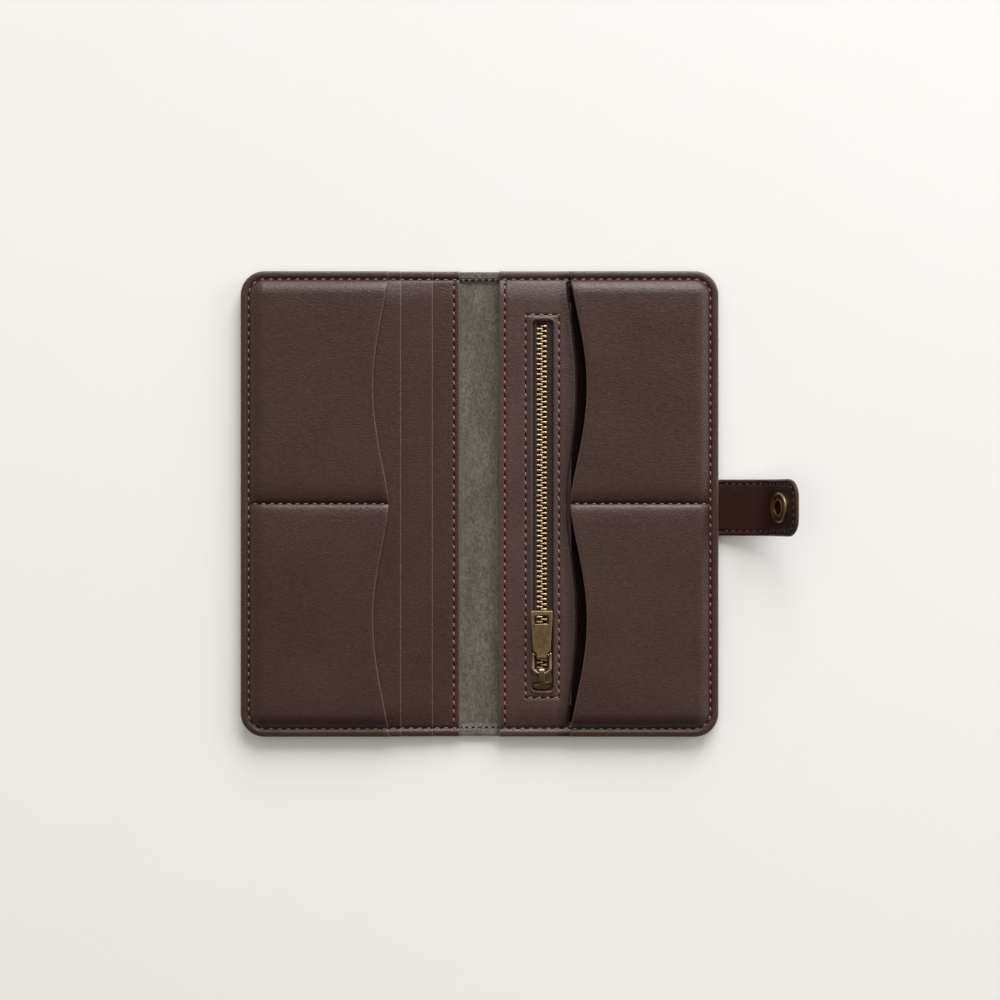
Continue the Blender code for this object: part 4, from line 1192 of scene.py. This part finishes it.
def slider():
    upper_z = (UPPER_PLATE_Z[0] + 0.14, UPPER_PLATE_Z[1])
    body = plate("slider_casting", [slider_outline()], upper_z, 0.2, SHADED_SLIDER_BRASS)
    neck = corners_of((CHAIN_X - 0.3, CHAIN_X + 0.3), (-74.3, -70.5))
    joined = [
        plate("slider_lower", [slider_outline(0.6)], LOWER_PLATE_Z, 0.15, SHADED_SLIDER_BRASS),
        plate("slider_neck", [neck], (5.2, 8.15), 0.05, SHADED_SLIDER_BRASS),
    ]
    for side in (-1, 1):
        flange = corners_of(sorted((CHAIN_X + side * 2.75, CHAIN_X + side * 3.35)), (-72.9, -69.5))
        joined.append(plate(f"slider_flange_{side + 1}", [flange], (7.0, 8.12), 0.06, SHADED_SLIDER_BRASS))
    y0, y1 = BRIDGE_Y
    foot, wall = 8.3, 0.95
    arch = rounded([
        (y0, foot, 0), (y0 + wall, foot, 0), (y0 + wall + 0.1, BRIDGE_TOP - wall, 1.0),
        (y1 - wall - 0.1, BRIDGE_TOP - wall, 1.0), (y1 - wall, foot, 0), (y1, foot, 0),
        (y1, BRIDGE_TOP, 1.7), (y0, BRIDGE_TOP, 1.7),
    ])
    joined.append(plate("slider_bridge", [arch], (-1.2, 1.2), 0.3, SHADED_SLIDER_BRASS, upright(CHAIN_X)))
    put(fuse(body, joined, 13.0), "slider", "antique_brass", "slider_body")


def pull():
    y0, y1 = LINK_Y
    x0, x1 = CHAIN_X - LINK_HALF, CHAIN_X + LINK_HALF
    loop = rounded([
        (x0, y1 + 0.3, 0), (x0, y0 + 1.4, 1.4), (x0 + 2.0, y0, 1.0),
        (x1 - 2.0, y0, 1.0), (x1, y0 + 1.4, 1.4), (x1, y1 + 0.3, 0),
    ])
    link = wire("pull_link_wire", loop, LINK_Z, LINK_R, BRASS)
    ball = [(LINK_R * math.sin(a), LINK_R * math.cos(a)) for a in np.linspace(math.pi, 0, 13)]
    joined = [wire("pull_link_bar", [(x0, y1), (x1, y1)], LINK_Z, BAR_R, BRASS)]
    for i, x in enumerate((x0, x1)):
        joined.append(turned(f"pull_link_end_{i}", ball, BRASS, Matrix.Translation((x, y1 + 0.3, LINK_Z))))
    put(fuse(link, joined), "pull_link", "antique_brass", "pull_link")

    shoulders, throat = -59.3, -61.0
    side_run = [(1.9, y1 - 1.2, 0.5), (1.95, throat, 0.4), (3.55, shoulders, 0.5), (4.45, TAB_END, 0.5)]
    outline = [(CHAIN_X + x, y, radius) for x, y, radius in side_run]
    outline += [(CHAIN_X - x, y, radius) for x, y, radius in side_run[::-1]]
    window = [(x, y, 0.5) for x, y in corners_of((CHAIN_X - 3.0, CHAIN_X + 3.0), (-48.7, -45.2))]
    tab = plate("pull_tab_brass", [rounded(outline, 6), rounded(window, 6)], TAB_Z, 0.22, BRASS)
    # the tongue is rolled down round the link's bar
    y2, top, bottom = y1 - 1.9, TAB_Z[1] - 0.13, LINK_Z - 1.2
    tongue = rounded([(y1 + 1.1, top, 0.4), (y2, top, 1.1), (y2, bottom, 1.1), (y1 + 1.1, bottom, 1.0)])
    bore = circle(BAR_R + 0.1, y1, LINK_Z)
    barrel = plate("pull_tab_barrel", [tongue, bore], (-1.85, 1.85), 0.2, BRASS, upright(CHAIN_X))
    put(fuse(tab, [barrel], 13.0), "pull_tab", "antique_brass", "pull_tab")


# --- strap


def strap_line():
    """The strap's centre line in the XZ plane: straight runs with round bends at both folds."""
    fold_1, fold_2 = STRAP_FOLD_1[[0, 2]], STRAP_FOLD_2[[0, 2]]
    root = fold_1 + np.array([STRAP_ROOT, 0.0])
    tip = fold_2 + STRAP_TIP * FAR_RUN[[0, 2]]
    return np.array(rounded([(*root, 0), (*fold_1, 16.0), (*fold_2, 9.0), (*tip, 0)], 16))


CENTRE_LINE = strap_line()
CENTRE_RUN = run_length(CENTRE_LINE)
STRAP_LENGTH = CENTRE_RUN[-1]
STRAP_SPLIT = -STRAP_ROOT + 9.5


def strap_warp(verts):
    """Carries (distance along, across, height) points onto the bent strap."""
    s, across, height = verts.T
    x, z = on_path(s, CENTRE_RUN, CENTRE_LINE)
    dx, dz = heading(s, CENTRE_RUN, CENTRE_LINE, 0.35)
    return np.stack([x - dz * height, across + STRAP_Y, z + dx * height], -1)


def strap_depth(s, w):
    return depth_inside(s - (STRAP_LENGTH - STRAP_TIP_R), np.abs(w) - (STRAP_HALF - STRAP_TIP_R), STRAP_TIP_R)


def strap_face(s, w):
    """Half of the strap's thickness, with its seam's groove and a slight fullness inside."""
    depth = strap_depth(s, w)
    full = STRAP_THICK / 2 + 0.08 * smooth((depth - STRAP_SEAM) / 3)
    full = full + 0.05 * np.sin(math.pi * depth / STRAP_SEAM) * (depth < STRAP_SEAM)
    return full - groove(depth - STRAP_SEAM, 0.26, 0.5)


def strap_grid(start, end):
    edge = [*edge_steps(CUT_EDGE, 7), *np.arange(1.15, STRAP_TIP_R, 0.3), STRAP_TIP_R]
    rows = merged([*(STRAP_HALF - d for d in edge), *(d - STRAP_HALF for d in edge), *np.linspace(-4, 4, 9)])
    tip_start = STRAP_LENGTH - STRAP_TIP_R
    flat_end = min(end, tip_start)
    columns = np.linspace(start, flat_end, int((flat_end - start) / 0.45) + 2)
    if end < tip_start:
        return grid(rows, columns)
    drawn = squeeze(rows[:, None], STRAP_HALF, STRAP_TIP_R)
    return grid(rows, columns[:-1], tip_start + (STRAP_TIP_R - np.array(edge)[::-1]) * drawn)


def strap():
    root_nodes = ("strap_root", "strap_middle_outer")
    tip_nodes = ("strap_middle_lining", "strap_tip_outer", "strap_tip_lining")
    for name, start, end, fold, nodes in (
        ("strap_root_leather", 0.0, STRAP_SPLIT, "strap_near", root_nodes),
        ("strap_tip_leather", STRAP_SPLIT, STRAP_LENGTH, "strap_far", tip_nodes),
    ):
        s, w = strap_grid(start, end)
        depth = strap_depth(s, w)
        half = strap_face(s, w) * quarter_round(depth, CUT_EDGE)
        wear_and_shade = 0.45 * edge_falloff(depth, 1.0)
        piece = slab(name, s, w, half, -half, STRAP_LEATHER, warp=strap_warp, wear_and_shade=wear_and_shade)
        put(piece, fold, "dark_leather", *nodes)
    strap_seams()
    strap_snap()


def strap_seams():
    line, radius = STRAP_HALF - STRAP_SEAM, STRAP_TIP_R - STRAP_SEAM
    start, end = -STRAP_ROOT + 1.0, STRAP_LENGTH - STRAP_TIP_R

    def seam(name, path, sign, fold, node):
        def height(s, w):
            return sign * strap_face(s, w)

        piece = stitching(name, path, height, sign, strap_warp, pitch=STRAP_PITCH, thread=STRAP_THREAD)
        put(piece, fold, "thread", *([node] if sign > 0 else []))

    corner = quarter_turn(end, radius - line, radius, 16)
    tip_path = mirrored(straight((STRAP_SPLIT, -line), (end, -line), 60)[:-1] + corner)
    for sign, face in ((1, "inner"), (-1, "outer")):
        for way, place in ENDS:
            path = straight((start, way * line), (STRAP_SPLIT, way * line))
            name = f"strap_root_stitches_{face}_{place}"
            seam(name, path, sign, "strap_near", f"strap_middle_thread_{place}")
        seam(f"strap_tip_stitches_{face}", tip_path, sign, "strap_far", "strap_tip_thread")


def snap_place():
    """The socket's own frame: Z out of the strap's inner face, at the snap's centre."""
    along = Vector(FAR_RUN)
    out = Vector((-along.z, 0, along.x))
    side = out.cross(along)
    centre = Vector(STRAP_FOLD_2) + along * SNAP_AT
    rows = [(along[i], side[i], out[i], centre[i]) for i in range(3)]
    return Matrix((*rows, (0, 0, 0, 1)))


def fitting(name, profile, surface, place, carrier, *nodes):
    put(turned(name, profile, surface, place), carrier, "antique_brass", *nodes)


def strap_snap():
    place, face = snap_place(), STRAP_THICK / 2
    socket = [
        (6.1, -0.1, 0.1), (6.1, 1.0, 0.5), (5.2, 1.35, 0.5), (4.4, 1.0, 0.5), (3.7, 1.05, 0.3),
        (3.2, 1.4, 0.3), (2.7, 1.1, 0.2), (2.7, 0.1, 0.2), (3.4, -0.1, 0.1),
    ]
    socket = rounded([(radius, face + z, bevel) for radius, z, bevel in socket], 5)
    fitting("snap_socket_brass", socket, BRASS, place, "strap_tip", "snap_socket")
    # painted shadow: a dark disc in the socket's well
    well = [(0, face + 0.22), (0, face + 0.02), (2.9, face + 0.02), (2.9, face + 0.12)]
    fitting("snap_socket_well", well, HOLE_SHADOW, place, "strap_tip")
    out = -face - 0.15
    cap = [(0, 0.35), (1.6, 0.35), (1.6, 0.05), (CAP_R - 0.15, 0.05), (CAP_R, -0.1)]
    cap += [(CAP_R * math.cos(a), -0.45 - 1.5 * math.sin(a)) for a in np.linspace(0, math.pi / 2, 15)]
    cap = [(radius, out + z) for radius, z in cap]
    fitting("snap_cap_brass", cap, BRASS, place, "strap_tip", "snap_cap")


def stud():
    place = Matrix.Translation((STUD_X, STRAP_Y, 0))
    profile = [
        (0, 0.62, 0), (0, 0.1, 0), (1.8, 0.1, 0.2), (2.45, 0.35, 0.2), (2.2, 0.95, 0.15), (2.6, 1.3, 0.1),
        (4.9, 1.3, 0.2), (5.25, 1.6, 0.15), (4.9, 1.78, 0.1), (1.85, 1.78, 0), (1.85, 0.62, 0),
    ]
    fitting("snap_stud_brass", rounded(profile, 5), BRASS, place, "left_half", "snap_stud")
    eyelet = [(0, 3.08, 0), (4.7, 3.08, 0.15), (4.9, 2.75, 0.1), (1.6, 2.7, 0.1), (1.6, 0.9, 0.1), (0, 0.9, 0)]
    fitting("snap_eyelet_brass", rounded(eyelet, 5), BRASS, place, "left_half", "snap_eyelet")


# --- carried-over nodes and the room


def carried_over():
    looks = {
        "left_board": BOARD, "right_board": BOARD, "zipper_top_stop_left": BRASS,
        "zipper_top_stop_right": BRASS, "zipper_bottom_stop": BRASS,
    }
    for node, surface in looks.items():
        data = frame["nodes"][node].data
        data.materials.clear()
        data.materials.append(surface)


def room():
    mesh = bpy.data.meshes.new("studio_floor")
    mesh.from_pydata([(x, y, 0) for x, y in corners_of((-3, 3), (-3, 3))], [], [(0, 1, 2, 3)])
    mesh.materials.append(FLOOR)
    floor = link("studio_floor", mesh)
    floor.location.z = -0.00005

    world = bpy.data.worlds.new("studio_world")
    world.use_nodes = True
    tree = world.node_tree
    sky = tree.nodes["Background"]
    sky.inputs["Color"].default_value = (1.0, 0.945, 0.865, 1)
    facing = tree.nodes.new("ShaderNodeVectorMath")
    facing.operation = "DOT_PRODUCT"
    facing.inputs[1].default_value = (0.2, 0.85, -0.5)
    tree.links.new(tree.nodes.new("ShaderNodeTexCoord").outputs["Generated"], facing.inputs[0])
    glow = tree.nodes.new("ShaderNodeMapRange")
    for socket, value in (("From Min", -1.0), ("To Min", 0.0), ("To Max", 0.95)):
        glow.inputs[socket].default_value = value
    tree.links.new(facing.outputs["Value"], glow.inputs["Value"])
    tree.links.new(glow.outputs["Result"], sky.inputs["Strength"])
    bpy.context.scene.world = world

    cool, warm = (0.97, 0.985, 1.0), (1.0, 0.955, 0.88)
    for name, place, size, power, colour in (
        ("window_light", (0.6, 2.3, 1.45), 1.9, 79.0, cool),
        ("side_light", (1.6, 0.6, 0.75), 0.8, 6.0, cool),
        ("ceiling_light", (-0.4, -0.4, 2.5), 2.4, 16.0, warm),
    ):
        data = bpy.data.lights.new(name, "AREA")
        data.size = size
        data.energy = power
        data.color = colour
        lamp = link(name, data)
        lamp.visible_glossy = name != "ceiling_light"
        lamp.location = place
        lamp.rotation_euler = (-Vector(place)).to_track_quat("-Z", "Y").to_euler()


def camera():
    data = bpy.data.cameras.new("camera")
    data.lens = 75
    data.sensor_width = 36
    data.clip_end = 10
    obj = link("camera", data)
    obj.location = (8.35 * MM, 1.63 * MM, 856 * MM)
    bpy.context.scene.camera = obj
    bpy.context.scene.view_settings.view_transform = "Standard"


camera()
room()
card_panels()
zip_panel()
for half in (-1, 1):
    cover(half)
    rim_filler(half)
    suede_sheet(half)
    spine_rims(half)
    inner_layers(half)
    half_seams(half)
zip_box_seam()
zipper()
slider()
pull()
strap()
stud()
carried_over()
